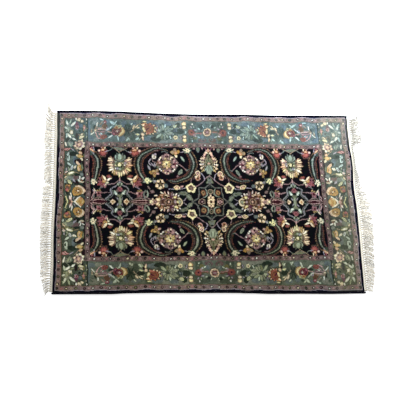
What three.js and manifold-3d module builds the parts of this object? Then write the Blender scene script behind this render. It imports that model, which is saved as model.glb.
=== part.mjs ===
// A hand-knotted wool rug of about 3 by 5 ft, lying flat on the floor. Millimetres, +Z up.
// The long side runs along X, the warp ends and their fringe are at -X and +X, and the origin is
// on the floor under the middle of the rug.
import * as THREE from "three";
import { mergeVertices } from "three/addons/utils/BufferGeometryUtils.js";
import Module from "manifold-3d";

const wasm = await Module();
wasm.setup();

// The knotted body without its side cords. The pile rounds off over roundIn at the edges.
const body = { length: 1500, width: 923.4, height: 10, roundIn: 4, roundDrop: 2.5 };
// A wrapped cord along each long side.
const cord = { diameter: 8, sides: 8, gap: 0.4, steps: 72 };
// The flat-woven band between the pile and the knotted fringe.
const web = { depth: 9, thickness: 2.6, gap: 0.3 };
// One knotted lock of warp ends for each step of the fringe.
const fringe = { knots: 78, firstY: 455 };
// Straight stretches that make up one wavy long side, and one wavy end.
const longSteps = 60;
const shortSteps = 38;

// How far the finished edge lies outside its straight line, at a place along that line.
const farSide = [
  { at: -750, out: -1 },
  { at: -590, out: 2 },
  { at: -440, out: 2 },
  { at: -340, out: -1 },
  { at: -235, out: -3.5 },
  { at: -80, out: -5 },
  { at: 75, out: -2.6 },
  { at: 190, out: 0.5 },
  { at: 340, out: 0 },
  { at: 450, out: 2 },
  { at: 560, out: 5 },
  { at: 750, out: 7.5 },
];
const nearSide = [
  { at: -750, out: 1 },
  { at: -480, out: 1 },
  { at: -390, out: -2.5 },
  { at: -290, out: -3.7 },
  { at: -100, out: -2.7 },
  { at: 90, out: -2.6 },
  { at: 190, out: -0.6 },
  { at: 285, out: 2.7 },
  { at: 430, out: 2.7 },
  { at: 580, out: 4 },
  { at: 750, out: 2 },
];
const leftEnd = [
  { at: -470, out: 0 },
  { at: -340, out: -1.5 },
  { at: -180, out: 2 },
  { at: 20, out: -1 },
  { at: 320, out: -1.5 },
  { at: 470, out: 1 },
];
const rightEnd = [
  { at: -470, out: 0 },
  { at: -300, out: 0.5 },
  { at: -170, out: 2 },
  { at: -45, out: 2.9 },
  { at: 83, out: -3.9 },
  { at: 190, out: 2 },
  { at: 240, out: 1 },
  { at: 305, out: -5 },
  { at: 396, out: -7.3 },
  { at: 470, out: -4 },
];

// The free end of the fringe: how far it reaches from the rug's end, and how far its tip is combed
// towards +Y, at a place along that end.
const leftFringe = [
  { at: 455, reach: 44, comb: 40 },
  { at: 400, reach: 60, comb: 20 },
  { at: 330, reach: 66, comb: 4 },
  { at: 230, reach: 62, comb: -6 },
  { at: 130, reach: 61, comb: -14 },
  { at: 96, reach: 56, comb: -14 },
  { at: 78, reach: 34, comb: 6 },
  { at: 52, reach: 64, comb: 9 },
  { at: 0, reach: 69, comb: 0 },
  { at: -210, reach: 68, comb: -4 },
  { at: -380, reach: 62, comb: -6 },
  { at: -430, reach: 46, comb: -12 },
  { at: -455, reach: 36, comb: -16 },
];
const rightFringe = [
  { at: 455, reach: 76, comb: 32 },
  { at: 400, reach: 68, comb: 22 },
  { at: 368, reach: 78, comb: -4 },
  { at: 335, reach: 74, comb: -4 },
  { at: 314, reach: 34, comb: -4 },
  { at: 300, reach: 20, comb: 0 },
  { at: 190, reach: 20, comb: 1 },
  { at: 120, reach: 36, comb: 10 },
  { at: 75, reach: 46, comb: 10 },
  { at: 40, reach: 66, comb: 6 },
  { at: 0, reach: 80, comb: 2 },
  { at: -60, reach: 82, comb: -6 },
  { at: -140, reach: 78, comb: -24 },
  { at: -220, reach: 72, comb: -16 },
  { at: -350, reach: 66, comb: -16 },
  { at: -430, reach: 56, comb: -4 },
  { at: -455, reach: 50, comb: -2 },
];

// How far each side cord runs on past the pile, at its left and right end.
const farCordPast = { left: 7, right: 5 };
const nearCordPast = { left: 5, right: 14 };

// The neck of a knot, from where its lock lies free.
const neck = 17;
// One lock of the fringe: its half width and height from the root in the web, over the knot, to the
// tip. A station is a distance from the rug's end up to the neck of the knot, and a share of the
// free length past it.
const lock = [
  { from: 7, share: 0, half: 2, height: 2.2 },
  { from: 13, share: 0, half: 3.9, height: 5 },
  { from: neck, share: 0, half: 2.4, height: 3 },
  { from: neck, share: 0.5, half: 2.9, height: 2.8 },
  { from: neck, share: 1, half: 1.5, height: 1.4 },
];
// The top of a lock's section is this share of its foot.
const lockTop = 0.6;

// A table's named column at a place, eased from row to row.
function between(rows, place, column) {
  const sorted = [...rows].sort((a, b) => a.at - b.at);
  const after = sorted.findIndex((row) => row.at >= place);
  if (after < 0) return sorted.at(-1)[column];
  if (after === 0) return sorted[0][column];
  const [low, high] = [sorted[after - 1], sorted[after]];
  const share = THREE.MathUtils.smoothstep(place, low.at, high.at);
  return THREE.MathUtils.lerp(low[column], high[column], share);
}

// Evenly spaced places from -half to half.
function spaced(half, steps) {
  return Array.from({ length: steps + 1 }, (_, i) => -half + (i * 2 * half) / steps);
}

// The outline of the knotted body, anticlockwise from the near left corner.
function bodyOutline() {
  const [halfLength, halfWidth] = [body.length / 2, body.width / 2];
  const sideY = (rows, toSide, x) => toSide * (halfWidth + between(rows, x, "out"));
  const endX = (rows, toEnd, y) => toEnd * (halfLength + between(rows, y, "out"));
  const corner = (ends, toEnd, sides, toSide) =>
    new THREE.Vector2(
      endX(ends, toEnd, toSide * halfWidth),
      sideY(sides, toSide, toEnd * halfLength),
    );
  const along = spaced(halfLength, longSteps).slice(1, -1);
  const across = spaced(halfWidth, shortSteps).slice(1, -1);
  const near = along.map((x) => new THREE.Vector2(x, sideY(nearSide, -1, x)));
  const right = across.map((y) => new THREE.Vector2(endX(rightEnd, 1, y), y));
  const far = along.map((x) => new THREE.Vector2(x, sideY(farSide, 1, x)));
  const left = across.map((y) => new THREE.Vector2(endX(leftEnd, -1, y), y));
  return [
    corner(leftEnd, -1, nearSide, -1),
    ...near,
    corner(rightEnd, 1, nearSide, -1),
    ...right,
    corner(rightEnd, 1, farSide, 1),
    ...far.reverse(),
    corner(leftEnd, -1, farSide, 1),
    ...left.reverse(),
  ];
}

// A flat slab whose upper edge is rounded off.
function roundedSlab(outline) {
  const wall = body.height - body.roundDrop;
  const rings = [
    { z: 0, inset: 0 },
    { z: wall, inset: 0 },
    { z: body.height - 0.25 * body.roundDrop, inset: 0.4 * body.roundIn },
    { z: body.height, inset: body.roundIn },
  ];
  const points = rings.flatMap(({ z, inset }) =>
    outline.map((p) => [
      p.x * (1 - (2 * inset) / body.length),
      p.y * (1 - (2 * inset) / body.width),
      z,
    ]),
  );
  const count = outline.length;
  const faces = THREE.ShapeUtils.triangulateShape(outline, []);
  const top = (rings.length - 1) * count;
  const index = [
    ...faces.flatMap(([a, b, c]) => [a, c, b]),
    ...faces.flatMap(([a, b, c]) => [top + a, top + b, top + c]),
  ];
  for (let ring = 0; ring < rings.length - 1; ring++) {
    for (let i = 0; i < count; i++) {
      const [a, b] = [ring * count + i, ring * count + ((i + 1) % count)];
      index.push(a, b, b + count, a, b + count, a + count);
    }
  }
  return indexed(points, index);
}

function indexed(points, index) {
  return new THREE.BufferGeometry()
    .setAttribute("position", new THREE.Float32BufferAttribute(points.flat(), 3))
    .setIndex(index);
}

// A wrapped side cord, resting on the floor on one flat of its section.
function sideCord(rows, toSide, past) {
  const radius = cord.diameter / 2;
  const line = body.width / 2 + cord.gap + radius;
  const half = body.length / 2;
  const places = [-half - past.left, ...spaced(half, longSteps), half + past.right];
  const path = new THREE.CatmullRomCurve3(
    places.map((x) => new THREE.Vector3(x, toSide * (line + between(rows, x, "out")), radius)),
  );
  const corner = radius / Math.cos(Math.PI / cord.sides);
  const section = Array.from({ length: cord.sides }, (_, i) => {
    const turn = ((i + 0.5) * 2 * Math.PI) / cord.sides;
    return new THREE.Vector2(corner * Math.cos(turn), corner * Math.sin(turn));
  });
  return new THREE.ExtrudeGeometry(new THREE.Shape(section), {
    extrudePath: path,
    steps: cord.steps,
  });
}

// The woven band of one end, which follows the wavy end of the pile.
function webBand(rows, toEnd) {
  const half = body.width / 2 - 1;
  const inner = body.length / 2 + web.gap;
  const at = (depth) => (y) => {
    const out = between(rows, y, "out");
    return new THREE.Vector2(toEnd * (inner + depth + out), y);
  };
  const places = spaced(half, shortSteps);
  const inside = places.map(at(0));
  const outside = places.map(at(web.depth)).reverse();
  return new THREE.ExtrudeGeometry(new THREE.Shape([...inside, ...outside]), {
    depth: web.thickness,
    bevelEnabled: false,
  });
}

// One knotted lock, level on the floor, as a loft of four-sided sections along its bent line.
function fringeLock(y, end, reach, comb, toEnd) {
  const free = reach - neck;
  const rings = lock.map(({ from, share, half, height }) => {
    const x = toEnd * (end + from + share * free);
    const slope = (2 * share * comb) / free;
    const across = new THREE.Vector2(-toEnd * slope, 1).normalize().multiplyScalar(half);
    const middle = new THREE.Vector2(x, y + comb * share * share);
    const corner = (side, z, size) => [
      middle.x + side * size * across.x,
      middle.y + side * size * across.y,
      z,
    ];
    return [corner(-1, 0, 1), corner(1, 0, 1), corner(1, height, lockTop), corner(-1, height, lockTop)];
  });
  const index = [];
  for (let ring = 0; ring < rings.length - 1; ring++) {
    for (let i = 0; i < 4; i++) {
      const [a, b] = [ring * 4 + i, ring * 4 + ((i + 1) % 4)];
      index.push(a, b, b + 4, a, b + 4, a + 4);
    }
  }
  const last = (rings.length - 1) * 4;
  index.push(0, 2, 1, 0, 3, 2, last, last + 1, last + 2, last, last + 2, last + 3);
  const geometry = indexed(rings.flat(), index);
  // The loft faces inwards on the left end, where it runs the other way.
  return toEnd > 0 ? geometry : flipped(geometry);
}

function flipped(geometry) {
  const index = [...geometry.index.array];
  for (let i = 0; i < index.length; i += 3) {
    [index[i + 1], index[i + 2]] = [index[i + 2], index[i + 1]];
  }
  return geometry.setIndex(index);
}

function solidOf(geometry) {
  geometry.deleteAttribute("normal");
  geometry.deleteAttribute("uv");
  const merged = mergeVertices(geometry, 1e-4);
  const made = new wasm.Manifold(
    new wasm.Mesh({
      numProp: 3,
      vertProperties: merged.attributes.position.array,
      triVerts: new Uint32Array(merged.index.array),
    }),
  );
  return made;
}

function geometryOf(solid) {
  const mesh = solid.getMesh();
  return new THREE.BufferGeometry()
    .setAttribute("position", new THREE.BufferAttribute(mesh.vertProperties, 3))
    .setIndex(new THREE.BufferAttribute(mesh.triVerts, 1));
}

// The band of one end with its row of knotted locks, as one solid.
function fringedEnd(ends, rows, toEnd) {
  let made = solidOf(webBand(ends, toEnd));
  for (let i = 0; i < fringe.knots; i++) {
    const y = fringe.firstY - (i * 2 * fringe.firstY) / (fringe.knots - 1);
    const end = body.length / 2 + between(ends, y, "out");
    const reach = between(rows, y, "reach");
    const comb = between(rows, y, "comb");
    made = made.add(solidOf(fringeLock(y, end, reach, comb, toEnd)));
  }
  return geometryOf(made);
}

const wool = new THREE.MeshStandardMaterial({ color: 0x2f3b3c, roughness: 0.95, metalness: 0 });
const navyWool = new THREE.MeshStandardMaterial({ color: 0x15182b, roughness: 0.9, metalness: 0 });
const cotton = new THREE.MeshStandardMaterial({ color: 0xe6e0d0, roughness: 0.9, metalness: 0 });

const rug = new THREE.Group();
function place(name, geometry, material) {
  const mesh = new THREE.Mesh(geometry, material);
  mesh.name = name;
  rug.add(mesh);
}

place("pile_body", roundedSlab(bodyOutline()), wool);
place("side_cord_far", sideCord(farSide, 1, farCordPast), navyWool);
place("side_cord_near", sideCord(nearSide, -1, nearCordPast), navyWool);
place("fringe_left", fringedEnd(leftEnd, leftFringe, -1), cotton);
place("fringe_right", fringedEnd(rightEnd, rightFringe, 1), cotton);

export default rug;
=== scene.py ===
import math

import bpy
import numpy as np
from mathutils import Matrix


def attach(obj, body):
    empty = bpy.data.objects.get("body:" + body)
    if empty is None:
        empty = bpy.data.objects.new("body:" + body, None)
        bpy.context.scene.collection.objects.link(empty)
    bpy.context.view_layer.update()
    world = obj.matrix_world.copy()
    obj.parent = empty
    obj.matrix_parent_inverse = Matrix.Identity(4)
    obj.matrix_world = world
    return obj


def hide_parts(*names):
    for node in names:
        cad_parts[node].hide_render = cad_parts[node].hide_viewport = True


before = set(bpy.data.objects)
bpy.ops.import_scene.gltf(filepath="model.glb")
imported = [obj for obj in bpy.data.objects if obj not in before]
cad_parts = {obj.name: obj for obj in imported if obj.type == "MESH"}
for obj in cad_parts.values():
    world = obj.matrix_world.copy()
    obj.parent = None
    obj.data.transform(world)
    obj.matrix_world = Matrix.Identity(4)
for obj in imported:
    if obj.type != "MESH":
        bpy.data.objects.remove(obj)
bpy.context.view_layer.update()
rng = np.random.default_rng(11)

MM = 0.001
TURN = 2 * math.pi

# The knotted body, as in the frame: half sizes, pile height, and the rounding of its upper edge.
HALF_LENGTH = 750
HALF_WIDTH = 461.7
PILE_TOP = 10
ROUND_IN = 4
ROUND_DROP = 2.5
KNOT = 2.6
# The chart's lines slip by up to about this many knots.
SLIP = 1.1
# The woven back lies under the pile, and its squares are this many knots wide.
BACK_TOP = 2.5
BACK_SQUARES = 1.5

# How far each finished edge lies outside its straight line: (place along the edge, out).
FAR_SIDE = (
    (-750, -1), (-590, 2), (-440, 2), (-340, -1), (-235, -3.5), (-80, -5),
    (75, -2.6), (190, 0.5), (340, 0), (450, 2), (560, 5), (750, 7.5),
)
NEAR_SIDE = (
    (-750, 1), (-480, 1), (-390, -2.5), (-290, -3.7), (-100, -2.7), (90, -2.6),
    (190, -0.6), (285, 2.7), (430, 2.7), (580, 4), (750, 2),
)
LEFT_END = ((-470, 0), (-340, -1.5), (-180, 2), (20, -1), (320, 0), (470, 4))
RIGHT_END = (
    (-470, 6), (-300, 7), (-170, 8.5), (-45, 9), (83, 3),
    (190, 8.5), (240, 7.5), (305, 2), (396, 0), (470, 2),
)
# The fringes' free ends: (place along the end, reach from the rug, comb towards +Y at the tip).
LEFT_FRINGE = (
    (-455, 36, -16), (-430, 46, -12), (-380, 62, -6), (-210, 68, -4), (0, 69, 0), (52, 64, 9), (78, 34, 6),
    (96, 56, -14), (130, 61, -14), (230, 62, -6), (330, 66, 4), (400, 60, 24), (455, 48, 56),
)
RIGHT_FRINGE = (
    (-455, 50, -2), (-430, 56, -4), (-350, 66, -16), (-220, 72, -16), (-140, 78, -24), (-60, 82, -6),
    (0, 80, 2), (40, 66, 6), (75, 46, 10), (120, 36, 10), (190, 20, 1), (300, 20, 0), (314, 34, -4),
    (335, 74, -4), (368, 78, -4), (400, 68, 22), (455, 76, 32),
)
LOCKS = 78
FIRST_LOCK = 455
YARNS = 10
# A lock's stations from the rug's end: inside the woven band, at the knot, and where the yarns part.
ROOT = 7
TIE = 13
NECK = 17
# A lock's yarns are bound at these stations: half the lock's width at each, and the yarns' height.
STATIONS = (ROOT, 10.5, TIE, NECK)
BOUND_SPREAD = (3.0, 2.2, 1.1, 1.6)
BOUND_HEIGHT = (1.2, 1.8, 2.4, 1.9)
# How the free yarns open at the left and the right end: by which share of the way, how far, and how loose
# the lock is at its knot.
LEFT_OPEN, RIGHT_OPEN = (0.5, 3.4, 1.0), (0.22, 4.6, 1.6)
YARN_STEPS = 17
YARN_RADIUS = 0.8
# The two turns of yarn round each lock: how far out, how slanting, and the radius.
KNOT_TURNS = ((0.0, 0.5, 2.5), (1.5, -0.55, 2.2))
KNOT_YARN = 0.95
# The woven band: its gap to the pile, depth and thickness.
WEB_GAP = 0.3
WEB_DEPTH = 14
WEB_THICK = 2.6
# The side cords: half height, half width, gap to the pile, and how far each runs past it (left, right).
CORD_RADIUS = 4.2
CORD_WIDE = 5.4
CORD_GAP = 0.4
FAR_PAST = (7, 5)
NEAR_PAST = (5, 14)
# Their wrapping: the pitch of a turn, the depth of the grooves, the height of the turns, and the round tip.
CORD_PITCH = 3.2
CORD_GROOVE = 0.45
CORD_RIDGE = 0.3
CORD_TIP = 5
CORD_STEPS, CORD_SIDES = 1900, 12
CORD_MAP_ROWS = 12
# The lowest that yarn lies over the floor.
ON_FLOOR = 0.05

# Where the straight bands give way to the wavy outline: from here to the body's end, and to its side.
WAVY_END = 606
WAVY_SIDE = 310
# How the field lies askew, in millimetres: its middle is shifted towards the right end, up to a distance
# along, and turned a little for each millimetre across.
SHIFT_ALONG, SHIFT_ENDS, TURN_ALONG = 12, (240, 440), 0.02
# Across, its axis is shifted towards the near side, less so towards its long edges, and turned likewise.
SHIFT_ACROSS, SHIFT_LESS, TURN_ACROSS, FIELD_HALF = -11, 7, 0.008, 283


def eased(rows, place, column=1):
    """A table's column at each place, eased from row to row."""
    rows = np.array(rows, float)
    at, value = rows[:, 0], rows[:, column]
    after = np.clip(np.searchsorted(at, place), 1, len(at) - 1)
    share = soft(place, at[after - 1], at[after])
    return value[after - 1] + (value[after] - value[after - 1]) * share


def soft(x, low, high):
    """0 below low, 1 above high, and a smooth step between."""
    x = np.clip((x - low) / (high - low), 0, 1)
    return x * x * (3 - 2 * x)


def waves(x, y, length, seed):
    """Slow uneven waves over x and y, about -1 to 1, from a few sines in seeded directions."""
    pick = np.random.default_rng(seed)
    total = np.zeros(np.broadcast(x, y).shape)
    for _ in range(7):
        way, phase = pick.uniform(0, TURN, 2)
        pitch = length * pick.uniform(0.7, 1.6)
        total = total + np.sin((x * math.cos(way) + y * math.sin(way)) * TURN / pitch + phase)
    return total / 3.2


def laid(s, t):
    """Where a place of the chart lies on the rug: the weaver's slightly bent bands and the wavy outline."""
    across, along = np.abs(t), np.abs(s)
    inner_x = SHIFT_ALONG * (1 - soft(along, *SHIFT_ENDS)) - TURN_ALONG * t
    end = soft(along, WAVY_END, HALF_LENGTH)
    side = soft(across, WAVY_SIDE, HALF_WIDTH)
    y = t
    for _ in range(3):
        out = np.where(s > 0, eased(RIGHT_END, y), eased(LEFT_END, y))
        x = s + inner_x * (1 - end) + np.sign(s) * out * end
        out = np.where(t > 0, eased(FAR_SIDE, x), eased(NEAR_SIDE, x))
        less = SHIFT_LESS * np.minimum(across, FIELD_HALF) / FIELD_HALF
        inner_y = SHIFT_ACROSS + less + TURN_ACROSS * x
        y = t + inner_y * (1 - side) + np.sign(t) * out * side
    return x, y


# The rug's design, woven knot by knot on one quarter and mirrored.
# a is the distance from the middle towards an end, b from the middle towards a long side, in millimetres.
BANDS_A = {"field": 583, "guard": 607, "border": 713, "outer": 739}
BANDS_B = {"field": 283, "guard": 310, "border": 432}
# Beyond the rug's edges, the long border's width and its middle line, the axis of the big palmette, and
# the pitch of the guards' dots.
OUT_A, OUT_B = 770, 480
BORDER_B = (300, 440)
BORDER_MID = 369
PALMETTE_AXIS = 438
GUARD_PITCH = 39.5

# The yarns' colours, sRGB, 0 to 255.
YARN = {
    "night": (6, 6, 20), "navy": (13, 14, 34), "ink": (20, 27, 24), "soot": (30, 20, 20),
    "maroon": (62, 26, 32), "plum": (88, 46, 62), "wine": (110, 56, 60), "red": (142, 70, 66),
    "rose": (150, 90, 92), "pink": (184, 144, 136), "mauve": (138, 110, 108), "lilac": (150, 140, 148),
    "dusk": (96, 76, 72), "clay": (104, 84, 78), "taupe": (124, 104, 98), "fawn": (140, 120, 98),
    "brown": (90, 64, 46), "rust": (128, 74, 54), "coral": (166, 96, 82), "orange": (176, 122, 82),
    "peach": (204, 166, 134), "ochre": (156, 128, 82), "amber": (172, 130, 68), "gold": (188, 162, 106),
    "butter": (212, 204, 150), "cream": (214, 196, 160), "ivory": (222, 216, 198), "olive": (94, 92, 62),
    "teal": (84, 92, 82), "deep": (64, 72, 62), "forest": (34, 42, 34), "blue": (86, 96, 98),
    "grey": (108, 112, 102), "moss": (114, 116, 88), "sage": (136, 142, 118), "mint": (152, 162, 138),
    "frost": (176, 188, 174),
}
INK = {name: number for number, name in enumerate(YARN)}
CURVE_STEP = 1.5


class Quarter:
    """One quarter of the rug's knots: ink holds a yarn number for each. While axis is set, shapes are woven
    twice, as drawn and mirrored about the line a = axis."""

    def __init__(self, half_length, half_width, knot):
        self.a = (np.arange(round(half_length / knot)) + 0.5) * knot
        self.b = (np.arange(round(half_width / knot)) + 0.5) * knot
        self.ink = np.zeros((len(self.b), len(self.a)), np.uint8)
        self.axis = None

    def patches(self, low, high):
        """The knots between two corners, as views (ink, A, B), with the mirrored ones after them."""
        spans = [(low[0], high[0], lambda A: A)]
        if self.axis is not None:
            twice = 2 * self.axis
            spans.append((twice - high[0], twice - low[0], lambda A: twice - A))
        rows = slice(*np.searchsorted(self.b, (low[1], high[1])))
        for left, right, drawn in spans:
            cols = slice(*np.searchsorted(self.a, (left, right)))
            A, B = np.meshgrid(self.a[cols], self.b[rows])
            yield self.ink[rows, cols], drawn(A), B

    def block(self, yarn, a0, a1, b0, b1):
        """A plain rectangle of one yarn."""
        for ink, _, _ in self.patches((a0, b0), (a1, b1)):
            ink[:] = INK[yarn]

    def shape(self, at, reach, turn, layers, inside):
        """Weaves layers of yarn where inside(u, v, share) holds; u runs along turn, in degrees, from at.
        layers are words such as "brown 90 cream": each further yarn has its share of the size in per cent."""
        words = layers.split()
        shares = [100, *map(int, words[1::2])]
        c, s = math.cos(math.radians(turn)), math.sin(math.radians(turn))
        a, b = at
        for ink, A, B in self.patches((a - reach, b - reach), (a + reach, b + reach)):
            u, v = (A - a) * c + (B - b) * s, (B - b) * c - (A - a) * s
            for share, yarn in zip(shares, words[::2]):
                ink[inside(u, v, share / 100)] = INK[yarn]


def bloom(q, at, radius, layers, lobes=0, depth=0.0, turn=0.0, stretch=1.0):
    """A round flower, or a ring of lobes; stretch lengthens it along turn."""

    def inside(u, v, share):
        rim = radius * share * (1 - depth * (0.5 - 0.5 * np.cos(lobes * np.arctan2(v, u / stretch))))
        return np.hypot(u / stretch, v) < rim

    q.shape(at, radius * max(stretch, 1) + 1, turn, layers, inside)


def gem(q, at, half, layers, turn=0.0, power=1.3):
    """A bud between a diamond and an oval: half is its half length and half width."""

    def inside(u, v, share):
        return np.abs(u / half[0] / share) ** power + np.abs(v / half[1] / share) ** power < 1

    q.shape(at, max(half) + 1, turn, layers, inside)


def gems(q, rows, power=1.8, at=(0, 0)):
    """Buds along the rug, each (a, b, half length, half width, layers), with a and b from at."""
    for a, b, long, wide, layers in rows:
        gem(q, (at[0] + a, at[1] + b), (long, wide), layers, 0, power)


def leaf(q, base, length, width, turn, layers, bend=0.0, teeth=0):
    """A leaf or petal from its base along turn. bend carries its tip sideways; layers share its width."""

    def inside(u, v, share):
        x = np.clip(u / length, 0, 1)
        half = width / 2 * share * np.sin(np.pi * x**0.8) ** 0.8
        if teeth:
            half = half * (0.66 + 0.34 * np.abs(np.cos(np.pi * teeth * x)))
        within = (u > length * (1 - share) * 0.3) & (u < length * (0.5 + 0.5 * share))
        return within & (np.abs(v - bend * x * x) < half)

    q.shape(base, length + abs(bend), turn, layers, inside)


def blades(q, rows, edge="forest", lift=0):
    """Leaves over dark edges: (base a, base b, tip a, tip b, width, layers), with a bend where one bends."""
    for a0, b0, a1, b1, width, layers, *bend in rows:
        base = (a0, lift + b0)
        length = math.hypot(a1 - a0, b1 - b0)
        turn = math.degrees(math.atan2(b1 - b0, a1 - a0))
        leaf(q, base, length + 1, width + 3, turn, edge, *bend)
        leaf(q, base, length, width, turn, layers, *bend)


def around(at, turn, away):
    """The place at a turn, in degrees, and a distance from another."""
    r = math.radians(turn)
    return (at[0] + away * math.cos(r), at[1] + away * math.sin(r))


def petals(q, at, inner, rows, edge="soot"):
    """Petals round a place, from inner outwards, each (turn, tip, width, layers), over dark edges."""
    for turn, tip, width, layers in rows:
        base = around(at, turn, inner)
        leaf(q, base, tip - inner + 2, width + 5, turn, edge)
        leaf(q, base, tip - inner, width, turn, layers)


def dots(q, at, radius, rows, layers):
    """Small round dots at turns and distances round a place."""
    for turn, away in rows:
        bloom(q, around(at, turn, away), radius, layers)


def curve(points):
    """A smooth line through points, at even steps, as an array with a row for each place."""
    p = np.array([points[0], *points, points[-1]], float)
    out = []
    for a, b, c, d in zip(p[:-3], p[1:-2], p[2:-1], p[3:]):
        n = max(2, int(np.hypot(*(c - b)) / CURVE_STEP))
        x = (np.arange(n) / n)[:, None]
        out.append(b + 0.5 * x * (c - a + x * (2 * a - 5 * b + 4 * c - d + x * (3 * b - a - 3 * c + d))))
    return np.vstack([*out, p[-1]])


def ribbon(q, points, widths, bands, teeth=0.0, pitch=9.0):
    """A band along a curve. widths are its widths at even shares of the way. bands are (from, to, yarn), or
    (from, to, yarn, dash): from and to in shares of the half width, from -1 at the left to 1, and dash the
    share woven of each pitch."""
    line = curve(points)
    way = np.linspace(0, 1, len(line))
    half = np.interp(way, np.linspace(0, 1, len(widths)), widths) / 2
    tangent = np.gradient(line, axis=0)
    tangent /= np.hypot(*tangent.T)[:, None]
    most = half.max() + 2
    for ink, A, B in q.patches(line.min(0) - most, line.max(0) + most):
        if A.size == 0:
            continue
        flat = np.stack([A.ravel(), B.ravel()], 1)
        near = np.argmin(((flat[:, None] - line[None]) ** 2).sum(2), 1)
        away = flat - line[near]
        side = tangent[near, 0] * away[:, 1] - tangent[near, 1] * away[:, 0]
        along = (tangent[near] * away).sum(1)
        step = near * CURVE_STEP / pitch % 1
        share = side / np.maximum(half[near] * (1 - teeth * step), 0.4)
        for low, high, yarn, *dash in bands:
            woven = (np.abs(along) < 2) & (share >= low) & (share <= high) & (step <= (dash or [1])[0])
            ink[woven.reshape(A.shape)] = INK[yarn]


def stem(q, points, yarn, width=4.2):
    """A plain ribbon of one yarn and one width."""
    ribbon(q, points, (width, width), ((-1, 1, yarn),))


def stems(q, rows, lift=0):
    """Stems, each (yarn, width, its points), with b counted from lift."""
    for yarn, width, points in rows:
        stem(q, [(a, lift + b) for a, b in points], yarn, width)


def field(q):
    """The dark field, with the middle medallion and the flowers of its quarter."""
    vines(q)
    medallion(q)
    sunburst(q)
    palmette_head(q)
    palmette_crown(q)
    cartouche(q, (439, 0))
    fans(q, 439)
    end_leaves(q)
    mauve_rosette(q, (212, 195))
    tall_palmette(q, (0, 196))
    sickles(q)
    ring_buds(q)
    yellow_rosette(q, (96, 68))
    vine_flowers(q)
    pendant(q)
    q.axis = PALMETTE_AXIS
    iris(q)
    q.axis = None
    edge_flowers(q)


def vines(q):
    """Thin stems, under the flowers."""
    stems(q, (
        ("lilac", 4, ((118, 70), (140, 66), (180, 70), (206, 68))),
        ("mauve", 4, ((96, 92), (97, 108), (92, 124))),
        ("mauve", 4.5, ((158, 198), (139, 186), (119, 168), (107, 160))),
        ("grey", 3.5, ((282, 122), (286, 108), (280, 96))),
        ("lilac", 4, ((288, 225), (300, 208), (292, 190))),
        ("mauve", 4, ((262, 205), (282, 214), (278, 232))),
        ("mauve", 5, ((438, 112), (424, 100), (406, 91), (384, 92))),
        ("mauve", 5, ((438, 112), (452, 100), (470, 91), (492, 92))), ("pink", 5, ((438, 96), (438, 122))),
        ("mauve", 4.5, ((398, 50), (380, 48), (360, 40))), ("mauve", 4.5, ((480, 48), (496, 48), (520, 42))),
        ("lilac", 4, ((134, 6), (118, 18), (102, 28))), ("mauve", 4.5, ((290, 8), (306, 12), (322, 26))),
        ("lilac", 4, ((570, 60), (562, 46), (546, 36))),
        ("pink", 4, ((583, 4), (570, 16), (565, 34), (564, 60))),
        ("mauve", 4, ((0, 268), (12, 276), (22, 286))), ("lilac", 3, ((140, 258), (126, 262), (112, 274))),
        ("grey", 3, ((236, 260), (222, 262), (206, 254))), ("lilac", 4, ((338, 60), (352, 72), (366, 78))),
        ("grey", 4, ((540, 60), (528, 70), (514, 74))), ("mauve", 3, ((60, 142), (74, 132), (82, 120))),
        ("dusk", 4, ((300, 40), (318, 48), (330, 46))),
    ))


def sickles(q):
    """The two sickle leaves that ring the rosette, and the half one at the field's end."""
    ribs = (
        # From the outer rim over the dark middle with its pale line to the rim that faces the rosette.
        (-1, 1, "soot"), (-0.98, -0.7, "brown"), (-0.94, -0.76, "dusk", 0.7), (-0.9, -0.8, "ochre", 0.3),
        (-0.5, -0.32, "forest"), (-0.28, 0.14, "deep"), (-0.2, 0.06, "grey", 0.86),
        (-0.16, 0.02, "sage", 0.4), (0.2, 0.36, "forest"), (0.46, 0.64, "dusk", 0.8), (0.76, 0.98, "brown"),
        (0.8, 0.92, "red", 0.4),
    )
    pale = ((-0.26, 0.12, "grey"), (-0.18, 0.06, "sage", 0.9), (-0.1, -0.02, "lilac", 0.3))
    for points, widths, flip, part in (
        (
            ((104, 268), (84, 234), (78, 196), (92, 152), (124, 124), (166, 108), (216, 110)),
            (30, 46, 48, 46, 38, 26, 6),
            1,
            3,
        ),
        (
            ((312, 108), (336, 140), (348, 188), (336, 232), (298, 264), (248, 277), (204, 264)),
            (24, 42, 48, 48, 36, 24, 5),
            1,
            3,
        ),
        (
            ((562, 104), (552, 140), (546, 190), (551, 226), (570, 254), (600, 276)),
            (24, 42, 48, 46, 36, 24),
            -1,
            4,
        ),
    ):
        for bands, end in ((ribs, None), (pale, part)):
            if flip < 0:
                bands = [(-high, -low, *rest) for low, high, *rest in bands]
            ribbon(q, points[:end], widths[:end], bands, 0.16, 11)
    # Their heads: pale palmettes with pointed leaves.
    for at, turn, size, yarn in (
        ((105, 270), 66, 28, "cream"), ((310, 114), 262, 27, "butter"), ((566, 104), 260, 24, "cream"),
    ):
        for side, long, wide, layers in (
            (-104, 0.8, 12, "moss 66 sage"), (104, 0.8, 12, "grey 66 sage"),
            (-56, 1.0, 13, "sage 74 " + yarn), (56, 0.9, 13, "grey 74 mint"),
            (0, 0.96, 15, "moss 76 " + yarn), (180, 0.7, 12, "forest 70 grey"),
        ):
            leaf(q, at, long * size, wide + 5, turn + side, "forest")
            leaf(q, at, long * size - 2, wide, turn + side, layers)
        bloom(q, at, 14, f"sage 84 {yarn} 34 moss", 6, 0.3)


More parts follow.
